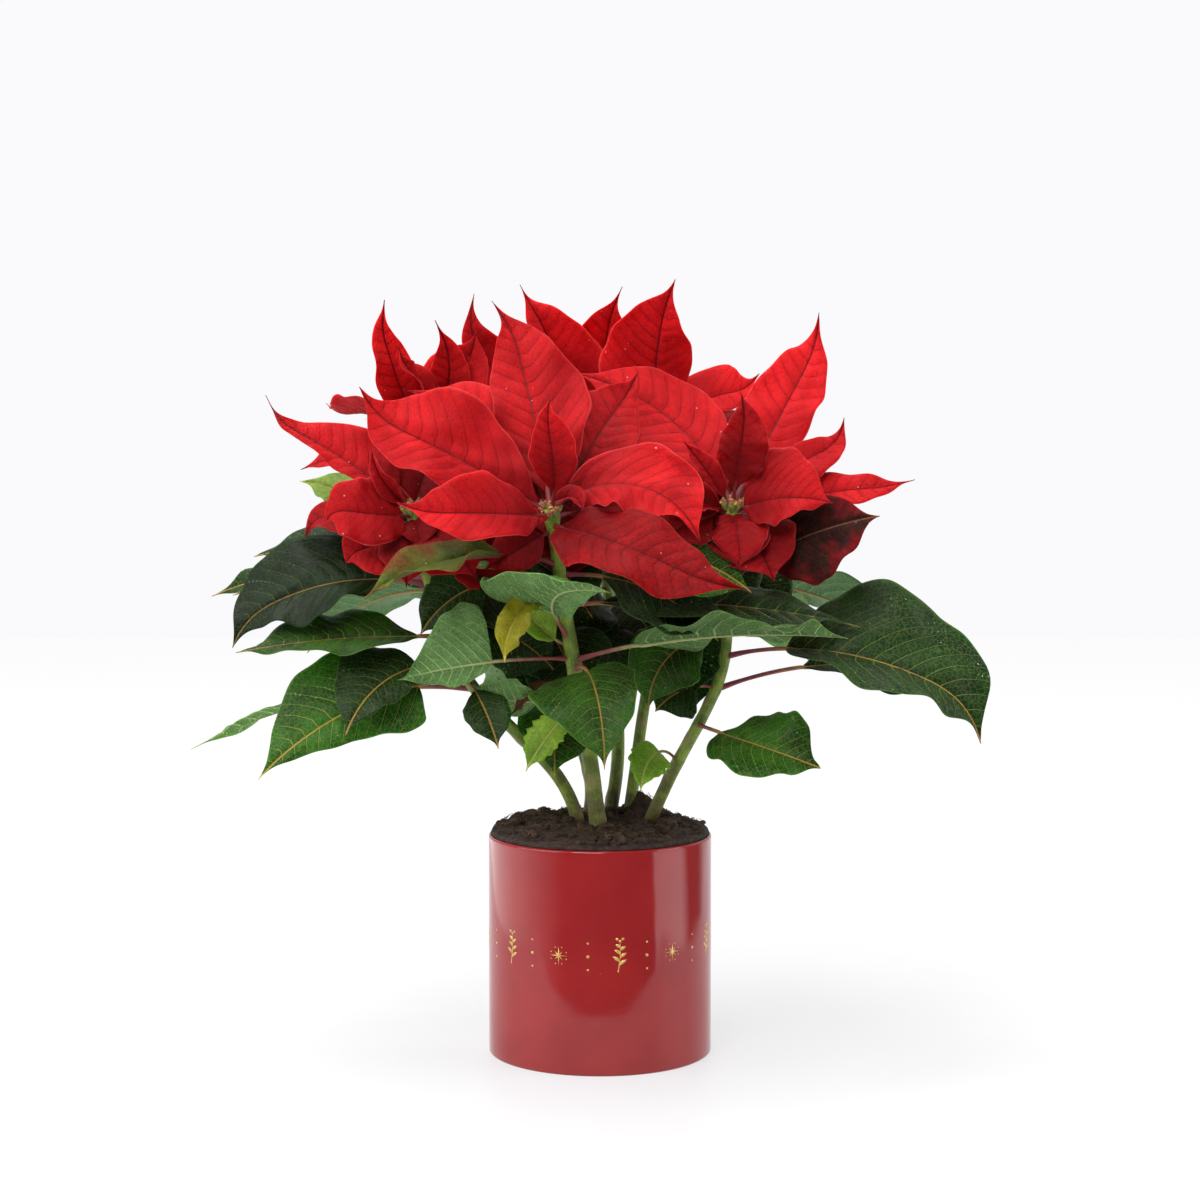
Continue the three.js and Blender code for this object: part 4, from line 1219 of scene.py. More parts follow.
RIGHT_BLADES = (
    bract("right_roll", 291, (200, 24), (30, -64), 7, 42, (30, 26), 60,
          fold=26, curl=46, joins="-", ripple=2.4, tint=-0.9),
    bract("right_inward", 286, (222, -14), (24, -76), 8, 44, (34, 34), 58, joins="-", tint=-1.4, ripple=2.6),
    bract("right_beneath", 289, (274, 0), (-18, -44), 6, 34, (36, 36), 64, joins="-", tint=-1.2),
    bract("right_under", 288, (304, 0), (-20, -40), 6, 42, (44, 44), 62, joins="-", tint=-1.3),
    bract("right_upright", 277, (96, 0), (54, -20), 5, 46, (46, 46), 70, joins="-", tint=-1.5),
    bract("right_cup", 292, (272, 0), (-14, -60), 2, 21, (18, 20), 62, joins="-", tint=-0.7),
    bract("right_low", 291, (318, 30), (28, -42), 8, 50, (56, 34), 60,
          widest=0.42, point=1.2, curl=4, ripple=2.8),
    bract("right_up", 297, (50, 6), (47, -2), 9, 122, (42, 36), 66,
          point=1.2, hook=(-20, 40), tint=0.5, ripple=2.6),
    bract("right_slim", 292, (24, 0), (38, -20), 9, 76, (22, 30), 45,
          widest=0.5, point=1.2, joins="flowers_right", hook=(0, 60)),
    bract("right_long", 287, (10, -14), (24, -28), 9, 90, (24, 26), 45,
          widest=0.5, joins="flowers_right", hook=(0, 20)),
    bract("right_inner", 297, (285, 60), (70, 20), 9, 50, (24, 30), 78,
          widest=0.4, point=1.4, fold=10, joins="flowers_right", hook=(-30, 20), ripple=3.2,
          waves=3.2, tint=-0.9),
    bract("right_up_left", 294, (118, 48), (54, -40), 9, 122, (46, 48), 66,
          aside=6, widest=0.48, fold=6),
    bract("right_back", 291, (130, 30), (32, -30), 9, 76, (26, 26), 45,
          widest=0.5, joins="flowers_right"),
    bract("right_shaded", 287, (210, -25), (42, -34), 9, 36, (34, 28), 53,
          widest=0.5, point=1.2, joins="flowers_right", tint=-1.2),
    bract("right_hanging", 288, (276, 0), (5, -88), 9, 30, (32, 28), 72,
          point=1.2, fold=10, joins="flowers_right"),
    bract("right_hidden", 290, (192, -20), (14, -12), 8, 54, (34, 34), 60, joins="-", tint=-1.0),
    bract("right_tip", 293, (196, -10), (58, -8), 7, 38, (10, 14), 66,
          fold=16, joins="-"),
    bract("right_backward", 291, (84, 6), (30, -46), 9, 92, (44, 44), 20, joins="-", tint=-0.3),
    bract("right_side", 289, (46, -8), (20, -36), 9, 84, (36, 36), 24, joins="-", tint=-0.4),
    Blade("leaf_right_crown", Tone.GREEN, 266, (170, -20), (14, -50), 8, 62, (46, 46), 44, joins="-"),
    Blade("leaf_turning_right", Tone.MAROON, 254, (318, 40), (38, -28), 26, 66, (44, 54), 66,
          aside=-6, widest=0.42, point=1.2, fold=6),
    Blade("leaf_right_inner", Tone.GREEN, 260, (255, -60), (30, 20), 8, 40, (36, 26), 45,
          widest=0.4, point=1.2, fold=10, joins="stem_right"),
    Blade("leaf_right_large", Tone.DARK, 215, (325, 48), (16, -58), 36, 122, (98, 60), 48,
          widest=0.4, point=1.15, fold=(4, 30), hook=(0, -30), ripple=2.4, tint=0.6),
    Blade("leaf_right_behind", Tone.DARK, 197, (12, 0), (20, -42), 48, 102, (56, 56), 30, widest=0.5),
    Blade("leaf_right_hanging", Tone.DARK, 198, (218, -32), (18, -70), 12, 28, (36, 36), 53,
          widest=0.5, joins="stem_right"),
    Blade("leaf_right_low", Tone.GREEN, 178, (284, 74), (0, -22), 25, 62, (50, 44), 48,
          widest=(0.55, 0.35), point=0.9, fold=4, ripple=2.6),
    Blade("leaf_right_between", Tone.GREEN, 226, (196, 10), (10, -100), 12, 54, (44, 40), 62,
          fold=14, joins="-", tint=-0.8),
    Blade("leaf_right_small", Tone.YOUNG, 157, (234, 10), (50, -130), 20, 30, (24, 22), 66,
          widest=0.35, point=1.2, fold=10, joins="stem_right", teeth=0.25, tint=-0.4),
)

LEFT_BLADES = (
    bract("left_out", 293, (172, -10), (40, -18), 9, 92, (16, 44), 53,
          widest=0.32, point=(1.7, 2.3), hook=(0, 40)),
    bract("left_round", 290, (240, -66), (4, 4), 9, 46, (36, 38), 66,
          point=0.6, fold=6, ripple=2.6, hook=(-50, -50), tint=0.3),
    bract("left_inner", 294, (245, -80), (18, 66), 9, 34, (12, 14), 80,
          aside=-20, widest=0.4, fold=40, joins="flowers_left"),
    bract("left_low", 287, (226, -40), (-28, 14), 9, 36, (36, 34), 66,
          aside=-6, widest=0.5, point=0.8, ripple=2.6, hook=(-40, -40)),
    bract("left_back", 285, (158, 6), (14, -24), 9, 60, (30, 28), 37,
          widest=0.5, point=1.1, joins="flowers_left", hook=(0, -60), tint=-1.5),
    bract("left_shade", 291, (24, -10), (20, -14), 8, 58, (34, 34), 56, joins="-", tint=-0.9),
    bract("left_backward", 290, (76, 6), (32, -50), 9, 84, (40, 40), 20, joins="-", tint=-0.3),
    bract("left_side", 288, (122, 8), (24, -44), 9, 80, (38, 38), 24, joins="-", tint=-0.4),
    bract("left_front_low", 285, (310, 10), (-8, -40), 8, 46, (44, 44), 56, joins="-", tint=-0.8),
    bract("left_rear", 290, (50, 0), (34, -20), 8, 56, (42, 42), 60, joins="-", tint=-0.9),
    Blade("leaf_left_beneath", Tone.DARK, 274, (84, 0), (24, -90), 4, 58, (56, 56), 62, joins="-"),
    bract("left_inside", 285, (20, 0), (-10, -40), 8, 62, (52, 52), 52, joins="-", tint=-1.2),
    bract("left_upright", 291, (62, 0), (64, -10), 7, 46, (42, 42), 78, joins="-", tint=-1.0),
    bract("left_hanging", 287, (264, 0), (-26, -50), 6, 36, (32, 32), 68, joins="-", tint=-1.2),
    bract("left_cup", 290, (286, 0), (-16, -50), 2, 22, (22, 20), 62, joins="-", tint=-0.9),
    Blade("leaf_left_lobe", Tone.DARK, 257, (152, 16), (12, -34), 20, 110, (44, 34), 40,
          joins="-", ripple=2.4),
    Blade("leaf_left_inner_high", Tone.DARK, 254, (20, 20), (2, -50), 14, 64, (52, 52), 52, joins="-"),
    Blade("leaf_left_inner", Tone.DARK, 236, (14, 10), (0, -50), 12, 60, (50, 50), 54, joins="-"),
    Blade("leaf_left_inner_low", Tone.GREEN, 222, (64, 20), (4, -60), 14, 58, (46, 46), 48, joins="-"),
    Blade("leaf_left_hanging", Tone.DARK, 204, (296, 10), (-24, -40), 10, 38, (26, 24), 56, joins="-"),
    Blade("leaf_left_bright", Tone.YOUNG, 268, (118, 62), (42, -32), 34, 58, (34, 34), 36,
          widest=0.5, joins="stem_left", tint=-1.6),
    Blade("leaf_left_high", Tone.DARK, 264, (140, 35), (16, -28), 34, 70, (40, 40), 30,
          widest=0.55, joins="stem_left"),
    Blade("leaf_left_behind", Tone.DARK, 261, (132, 42), (2, -18), 28, 98, (50, 64), 30,
          widest=0.5, joins="stem_left"),
    Blade("leaf_left_large", Tone.DARK, 254, (176, 12), (14, -56), 18, 98, (46, 66), 45,
          aside=-6, point=1.2, hook=(0, -24), tint=-1.9, ripple=2.6),
    Blade("leaf_left_under", Tone.GREEN, 227, (200, -14), (4, -14), 14, 96, (40, 50), 24, tint=-1.2),
    Blade("leaf_left_dark", Tone.DARK, 211, (206, 28), (14, -74), 24, 60, (30, 50), 56,
          aside=-6, widest=0.38, point=1.3, fold=6),
    Blade("leaf_left_low", Tone.GREEN, 205, (212, -36), (0, -48), 28, 98, (44, 70), 60,
          aside=-12, widest=(0.12, 0.36), point=(1.1, 1.3), fold=(0, 6), curl=(-30, 0), tint=0.5),
    Blade("leaf_left_long", Tone.LIGHT, 199, (170, 18), (4, -32), 34, 122, (34, 54), (37, -37),
          widest=0.35, point=1.5, fold=6, tint=2.0),
)

BACK_LEFT_BLADES = (
    bract("back_left_inward", 327, (338, -8), (30, -34), 8, 66, (40, 44), 58,
          joins="-", hook=(0, 30), tint=0.2),
    bract("back_left_steep", 326, (330, -10), (64, -14), 8, 64, (42, 44), 70,
          joins="-", hook=(0, 30), tint=0.3),
    bract("back_left_beneath", 316, (318, 0), (4, -40), 8, 60, (46, 46), 54, joins="-", tint=-0.8),
    bract("back_left_tall", 328, (232, 18), (52, 10), 9, 80, (30, 22), 78,
          aside=18, widest=0.42, point=1.5, fold=20, hook=(60, 20), tint=1.0),
    bract("back_left_curled", 323, (285, -65), (72, -58), 9, 66, (14, 20), 53,
          widest=0.5, point=1.5, fold=15, joins="flowers_back_left", hook=(0, 60)),
    bract("back_left_spike", 326, (345, -120), (60, 4), 9, 68, (26, 26), 72,
          widest=0.4, point=1.6, fold=15, joins="flowers_back_left", hook=(-40, 0)),
    bract("back_left_out", 326, (148, -16), (40, -62), 8, 78, (44, 44), -6,
          aside=20, widest=0.42, fold=10, hook=(0, 50)),
    bract("back_left_rear", 323, (74, 0), (38, -60), 8, 80, (42, 42), -17, widest=0.42, fold=10),
    bract("back_left_front", 324, (296, 6), (6, -34), 8, 70, (38, 38), 50, joins="-", tint=-0.7),
    bract("back_left_side", 322, (196, -8), (8, -30), 8, 66, (34, 34), 40, joins="-", tint=-0.6),
    bract("back_left_right", 324, (20, 10), (26, -40), 8, 70, (36, 36), 30, joins="-", tint=-0.4),
    bract("back_left_under", 304, (292, 10), (0, -40), 8, 74, (46, 46), 50, joins="-", tint=-0.9),
    Blade("leaf_back_left_deep", Tone.DARK, 268, (312, 0), (4, -50), 20, 72, (54, 50), 54, joins="-"),
    Blade("leaf_back_left_hanging", Tone.DARK, 232, (300, -10), (-4, -60), 24, 62, (50, 44), 60, joins="-"),
    Blade("leaf_back_left_low", Tone.GREEN, 188, (262, 10), (10, -80), 20, 54, (46, 40), 56, joins="-"),
    Blade("leaf_rear_far_left", Tone.DARK, 230, (146, -6), (26, -70), 64, 116, (62, 62), -12,
          aside=10, widest=0.4, point=1.2, fold=10),
    Blade("leaf_rear_left", Tone.GREEN, 212, (118, -14), (26, -70), 50, 108, (62, 62), -17,
          aside=6, widest=0.4, point=1.2, fold=10),
)

BACK_BLADES = (
    bract("back_leaning", 324, (212, 10), (28, 34), 9, 108, (26, 36), 66,
          aside=6, widest=0.42, fold=10, hook=(20, 50)),
    bract("back_horn_left", 330, (258, -28), (62, -18), 9, 92, (40, 50), 72,
          widest=0.42, point=1.7, fold=10, hook=(-60, 20), tint=1.0),
    bract("back_horn_right", 324, (345, -80), (77, -28), 9, 90, (50, 34), 72,
          widest=0.42, point=1.7, fold=10, hook=(50, 10), tint=1.0),
    bract("back_rear_left", 324, (112, -8), (36, -56), 10, 86, (46, 46), -17, widest=0.42, fold=10),
    bract("back_rear_right", 321, (68, 12), (30, -50), 9, 84, (46, 46), -17, widest=0.42, fold=10),
    bract("back_front", 325, (262, 4), (2, -30), 8, 74, (42, 42), 52, joins="-", tint=-0.8),
    bract("back_side_left", 322, (176, -8), (16, -34), 8, 74, (40, 40), 34, joins="-", tint=-0.6),
    bract("back_side_right", 323, (4, 8), (18, -36), 8, 72, (40, 40), 34, joins="-", tint=-0.6),
    bract("back_under", 304, (255, 10), (-4, -36), 8, 84, (50, 50), 50, joins="-", tint=-1.0),
    bract("back_under_left", 300, (212, 0), (0, -30), 8, 80, (46, 46), 46, joins="-", tint=-0.9),
    bract("back_under_right", 300, (322, 0), (0, -30), 8, 80, (46, 46), 46, joins="-", tint=-0.9),
    Blade("leaf_back_deep_left", Tone.DARK, 276, (220, 10), (4, -60), 22, 76, (56, 56), 52, joins="-"),
    Blade("leaf_back_deep_right", Tone.DARK, 280, (318, -10), (4, -60), 22, 74, (56, 56), 52, joins="-"),
    bract("back_under_middle", 292, (262, 0), (-10, -30), 8, 84, (56, 56), 52, joins="-", tint=-1.4),
    Blade("leaf_back_small", Tone.YOUNG, 228, (300, 0), (-10, -70), 10, 38, (20, 16), 62,
          joins="-", teeth=0.25, tint=-0.6),
    Blade("leaf_back_middle_left", Tone.DARK, 246, (236, 0), (4, -60), 10, 62, (56, 56), 56, joins="-"),
    Blade("leaf_back_middle_right", Tone.DARK, 240, (300, 0), (2, -60), 10, 60, (54, 54), 56, joins="-"),
    Blade("leaf_back_low_left", Tone.DARK, 222, (238, 0), (14, -90), 24, 62, (54, 50), 60, joins="-"),
    Blade("leaf_back_hanging", Tone.DARK, 236, (264, -8), (0, -80), 28, 68, (56, 54), 60, joins="-"),
    Blade("leaf_back_high", Tone.DARK, 262, (300, 20), (10, -60), 24, 72, (52, 52), 44, joins="-"),
    Blade("leaf_rear_middle", Tone.DARK, 240, (84, 12), (28, -70), 38, 110, (64, 64), -17,
          widest=0.4, point=1.2, fold=10),
    Blade("leaf_back_inner", Tone.DARK, 186, (228, -38), (36, -82), 24, 56, (50, 50), 45,
          joins="stem_back"),
)

BACK_RIGHT_BLADES = (
    bract("back_right_tall", 330, (262, 30), (62, -12), 9, 92, (62, 40), 72,
          widest=0.42, hook=(20, 10), tint=1.0),
    bract("back_right_low", 327, (358, -28), (58, -68), 9, 64, (38, 30), 53,
          widest=0.5, point=1.2, fold=10, hook=(0, 60), tint=0.8),
    bract("back_right_rear", 324, (60, 0), (36, -54), 8, 82, (44, 44), -17, widest=0.42, fold=10),
    bract("back_right_out", 321, (22, 0), (34, -48), 8, 92, (44, 44), -6,
          aside=-6, widest=0.42, fold=10, hook=(0, 50)),
    bract("back_right_front", 325, (286, 4), (4, -32), 8, 72, (42, 42), 52, joins="-", tint=-0.8),
    bract("back_right_left", 323, (160, 0), (20, -40), 8, 70, (38, 38), 30, joins="-", tint=-0.5),
    bract("back_right_under", 304, (282, 10), (-4, -36), 8, 80, (48, 48), 50, joins="-", tint=-0.9),
    Blade("leaf_back_right_deep", Tone.DARK, 270, (300, 0), (0, -50), 22, 74, (56, 54), 52, joins="-"),
    Blade("leaf_back_right_hanging", Tone.DARK, 238, (282, 0), (0, -70), 24, 66, (52, 50), 56, joins="-"),
    Blade("leaf_back_right_high", Tone.DARK, 264, (318, 16), (8, -56), 22, 74, (50, 50), 40, joins="-"),
    Blade("leaf_rear_right", Tone.GREEN, 222, (49, -2), (26, -72), 46, 106, (60, 60), -17,
          aside=-6, widest=0.4, point=1.2, fold=10),
    Blade("leaf_rear_far_right", Tone.DARK, 240, (22, -4), (20, -62), 48, 112, (58, 58), -12,
          aside=-10, widest=0.4, point=1.2, fold=10),
    Blade("leaf_back_right_inner", Tone.DARK, 192, (300, 0), (62, -140), 24, 40, (38, 38), 53,
          joins="stem_back_right"),
)


# ---- stems and flowers -------------------------------

@dataclass(frozen=True)
class Stem:
    """One stem with its leaves, its bracts and the flowers at its end."""

    side: str
    foot: float
    head: float
    points: tuple[Triple, ...]
    blades: tuple[Blade, ...]

    SIDES = 28
    STEP = 1.6
    SWELLING = (0.05, 3.0)       # share of the radius at each blade, and its height
    SCARS = range(131, 250, 21)  # heights of the scars, each shifted by up to 5
    SCAR_WIDTH = 0.13            # share of a turn
    SCAR_HEIGHT = 3.2
    SCAR_BULGE = 0.16
    RIDGES = 5
    RIDGE_HEIGHT = 0.02

    def build(self) -> None:
        """Makes the stem, its flowers and every blade on it."""
        curve = Curve(self.points)
        self.build_rod(curve)
        FlowerHead(self.side, curve.at(1.0)[0], curve.along(1.0)[0]).build()
        for blade in self.blades:
            blade.build(curve)

    def scars(self) -> list[Pair]:
        """The height and turn of each leaf scar, where a leaf has fallen off."""
        rng = draws("scars " + self.side)
        heights = np.array(self.SCARS) + rng.uniform(-5, 5, len(self.SCARS))
        return [(float(h), float(rng.uniform(0, 1))) for h in heights]

    def build_rod(self, curve: Curve) -> None:
        """Makes the stem itself, with a swelling at each blade and scars below them.

        Args:
            curve: the line through its middle.
        """
        rows = int(curve.length / self.STEP)
        shares = np.linspace(0, 1, rows)
        middles = curve.at(shares)
        heights = middles[:, 2]
        radii = self.foot + (self.head - self.foot) * shares
        for blade in self.blades:
            near = np.exp(-((heights - blade.start) / self.SWELLING[1]) ** 2)
            radii = radii * (1 + self.SWELLING[0] * near)
        turn = np.arange(self.SIDES) / self.SIDES
        scar = np.zeros((rows, self.SIDES))
        for height, at in self.scars():
            round_it = (turn[None] - at + 0.5) % 1 - 0.5
            far = ((heights[:, None] - height) / self.SCAR_HEIGHT) ** 2
            scar = np.maximum(scar, np.exp(-far - (round_it / self.SCAR_WIDTH) ** 2))
        twist = 0.01 * heights[:, None]
        start = draws("bark " + self.side).uniform(0, 1)
        ridge = self.RIDGE_HEIGHT * np.sin(2 * np.pi * (self.RIDGES * turn[None] + twist + start))
        full = radii[:, None] * (1 + ridge + self.SCAR_BULGE * scar)
        points, faces, marks = tube(middles, curve.along(shares), full, self.SIDES)
        marks[:, 0] = np.repeat(heights, self.SIDES)
        marks[:, 2] = scar.ravel()
        draft = Draft("stem_rod_" + self.side)
        draft.add(points, faces, 0, points, marks)
        place_piece(draft, [StemFinish().material()], "stem", "stem_" + self.side)


@dataclass(frozen=True)
class FlowerHead:
    """The small flowers in the middle of one head: green cups with red lips and yellow glands."""

    side: str
    middle: np.ndarray
    along: np.ndarray

    CUPS = 8                     # one in the middle and the rest in a ring
    CUP_RADIUS = 1.9
    CUP_HEIGHT = 5.2
    CUP_SIDES = 16
    CUP_SHAPE = ((0.0, -0.35), (0.35, -0.34), (0.5, -0.1), (0.85, 0.2), (1.0, 0.5), (0.92, 0.78),
                 (0.66, 0.95), (0.5, 1.0), (0.3, 0.93), (0.0, 0.85))
    SPREAD = 4.2
    SINK = 2.2                   # how far the ring's feet lie below the stem's end
    GLAND_SHAPE = ((0, -0.5), (0.8, -0.42), (1.15, 0), (0.85, 0.4), (0, 0.3))
    GLAND_SIDES = 12
    GLAND_PLACE = (1.5, 0, 3.6)
    STAMENS = 4
    STAMEN_HEIGHTS = (4.2, 5.4, 6.3)
    STAMEN_RADII = (0.16, 0.15, 0.14, 0.15, 0.34, 0.36, 0.1)
    FINISHES = (BudFinish("flower cup", "#7f9a3a", "#8f2a22"),
                BudFinish("nectar gland", "#d9b52c", "#e6cf55", 0.25),
                BudFinish("stamen", "#a02a1c", "#d6bc48"))

    def build(self) -> None:
        """Makes the cups, their glands and their stamens as one piece."""
        draft = Draft("cups_" + self.side)
        rng = draws("cups " + self.side)
        for k in range(self.CUPS):
            ring = 0.0 if k == 0 else 1.0
            turn = 2 * math.pi * (k / (self.CUPS - 1) + 0.03 * rng.uniform(-1, 1))
            out = self.SPREAD * ring * rng.uniform(0.85, 1.1)
            sunk = -self.SINK + 0.8 * (1 - ring)
            foot = np.array([out * math.cos(turn), out * math.sin(turn), sunk])
            lean = np.array([0.3 * ring * math.cos(turn), 0.3 * ring * math.sin(turn), 1.0])
            self.add_cup(draft, foot, unit(lean), rng, rng.uniform(0.8, 1.1))
        materials = [finish.material() for finish in self.FINISHES]
        place_piece(draft, materials, "flowers", "flowers_" + self.side)

    def add_cup(self, draft: Draft, foot: np.ndarray, way: np.ndarray,
                rng: np.random.Generator, size: float) -> None:
        """Adds one cup with its gland and stamens.

        Args:
            draft: the piece that it becomes part of.
            foot: its place, with the head's direction as Z.
            way: the direction in which it opens.
            rng: the head's random draws.
            size: how large it is.
        """
        profile = [(self.CUP_RADIUS * size * r, self.CUP_HEIGHT * size * z)
                   for r, z in self.CUP_SHAPE]
        points, faces = turned(profile, self.CUP_SIDES)
        lobes = 1 + 0.06 * np.cos(5 * np.arctan2(points[:, 1], points[:, 0]))
        points[:, :2] *= lobes[:, None]
        share = ease(points[:, 2], 0.0, self.CUP_HEIGHT * size)
        self.put(draft, points, faces, foot, way, 0, share)
        gland, gland_faces = turned(self.GLAND_SHAPE, self.GLAND_SIDES)
        gland = gland * size + np.array(self.GLAND_PLACE) * size
        turn = rng.uniform(0, 2 * math.pi)
        spin = np.array([[math.cos(turn), -math.sin(turn), 0], [math.sin(turn), math.cos(turn), 0],
                         [0, 0, 1]])
        self.put(draft, gland @ spin.T, gland_faces, foot, way, 1, np.full(len(gland), 0.5))
        shares = np.linspace(0, 1, len(self.STAMEN_RADII))
        for _ in range(self.STAMENS):
            lean = rng.uniform(-0.35, 0.35, 2)
            rod = Curve([(k * lean[0], k * lean[1], up) for k, up in enumerate(self.STAMEN_HEIGHTS)])
            points, faces, marks = tube(rod.at(shares), rod.along(shares), self.STAMEN_RADII, 6)
            self.put(draft, points * size, faces, foot, way, 2, marks[:, 0])

    def put(self, draft: Draft, points: np.ndarray, faces: Faces, foot: np.ndarray,
            way: np.ndarray, slot: int, share: np.ndarray) -> None:
        """Adds a part that was made with Z as its axis, moved to its place in the head.

        Args:
            draft: the piece that it becomes part of.
            points: its points.
            faces: its faces.
            foot: the cup's place, with the head's direction as Z.
            way: the direction in which the cup opens.
            slot: the index of its finish.
            share: for each point, 0 for the base's colour to 1 for the tip's.
        """
        tilt = np.array(Vector((0, 0, 1)).rotation_difference(Vector(way)).to_matrix())
        head = np.array(Vector((0, 0, 1)).rotation_difference(Vector(self.along)).to_matrix())
        moved = (points @ tilt.T + foot) @ head.T + self.middle
        marks = np.stack([share, np.zeros_like(share), np.zeros_like(share)], 1)
        draft.add(moved, faces, slot, moved, marks)


STEMS = (
    Stem("left", 3.6, 2.4,
         ((-8, -10, 112), (-22, -14, 150), (-70, -30, 205), (-90, -41, 260), (-97, -46, 295)),
         LEFT_BLADES),
    Stem("front", 4.6, 3.0,
         ((0, -20, 112), (-5, -24, 160), (-14, -32, 213), (-21, -50, 263), (-25, -70, 295)),
         FRONT_BLADES),
    Stem("right", 3.6, 2.4,
         ((20, -4, 110), (38, -6, 150), (64, -16, 205), (67, -26, 250), (69, -38, 297)),
         RIGHT_BLADES),
    Stem("back_left", 3.0, 2.2,
         ((-8, 8, 114), (-8, 12, 155), (-44, 34, 240), (-98, 53, 330)), BACK_LEFT_BLADES),
    Stem("back", 3.8, 2.4,
         ((4, 18, 114), (10, 30, 165), (4, 54, 245), (-15, 78, 330)), BACK_BLADES),
    Stem("back_right", 3.4, 2.4,
         ((14, 8, 114), (22, 22, 170), (33, 42, 245), (31, 64, 330)), BACK_RIGHT_BLADES),
)


# ---- pot, soil and print -----------------------------

@dataclass(frozen=True)
class Pot:
    """The straight pot, without its print, which GoldFrieze makes."""

    diameter: float = 120.0
    height: float = 118.0
    wall: float = 2.6
    floor: float = 3.0
    edge: float = 1.4            # radius of the rounded bottom edge
    hollow: float = 0.6          # how far the underside is raised inside the ring it stands on
    ring: Pair = (4.0, 6.0)      # how far in that ring starts and ends
    corner: float = 2.0          # bevel inside, between wall and floor
    sides: int = 256

    def build(self) -> None:
        """Makes the pot."""
        outer, inner = self.diameter / 2, self.diameter / 2 - self.wall
        foot = [(outer - self.edge + self.edge * math.sin(a), self.edge - self.edge * math.cos(a))
                for a in np.linspace(0, math.pi / 2, 7)]
        wall = [(outer, z) for z in np.linspace(6, self.height - 4, 28)]
        lip = self.wall / 2
        rim = [(outer - lip + lip * math.cos(a), self.height - lip + lip * math.sin(a))
               for a in np.linspace(0, math.pi, 13)]
        base = [(0.0, self.hollow), (outer - self.ring[1], self.hollow), (outer - self.ring[0], 0.0)]
        inside = [(inner, self.height - 8), (inner, self.floor + self.corner),
                  (inner - self.corner, self.floor), (0.0, self.floor)]
        profile = base + foot + wall + rim + inside
        points, faces = turned(profile, self.sides)
        draft = Draft("pot_shell")
        draft.add(points, faces)
        place_piece(draft, [LacquerFinish().material()], "pot", "pot")


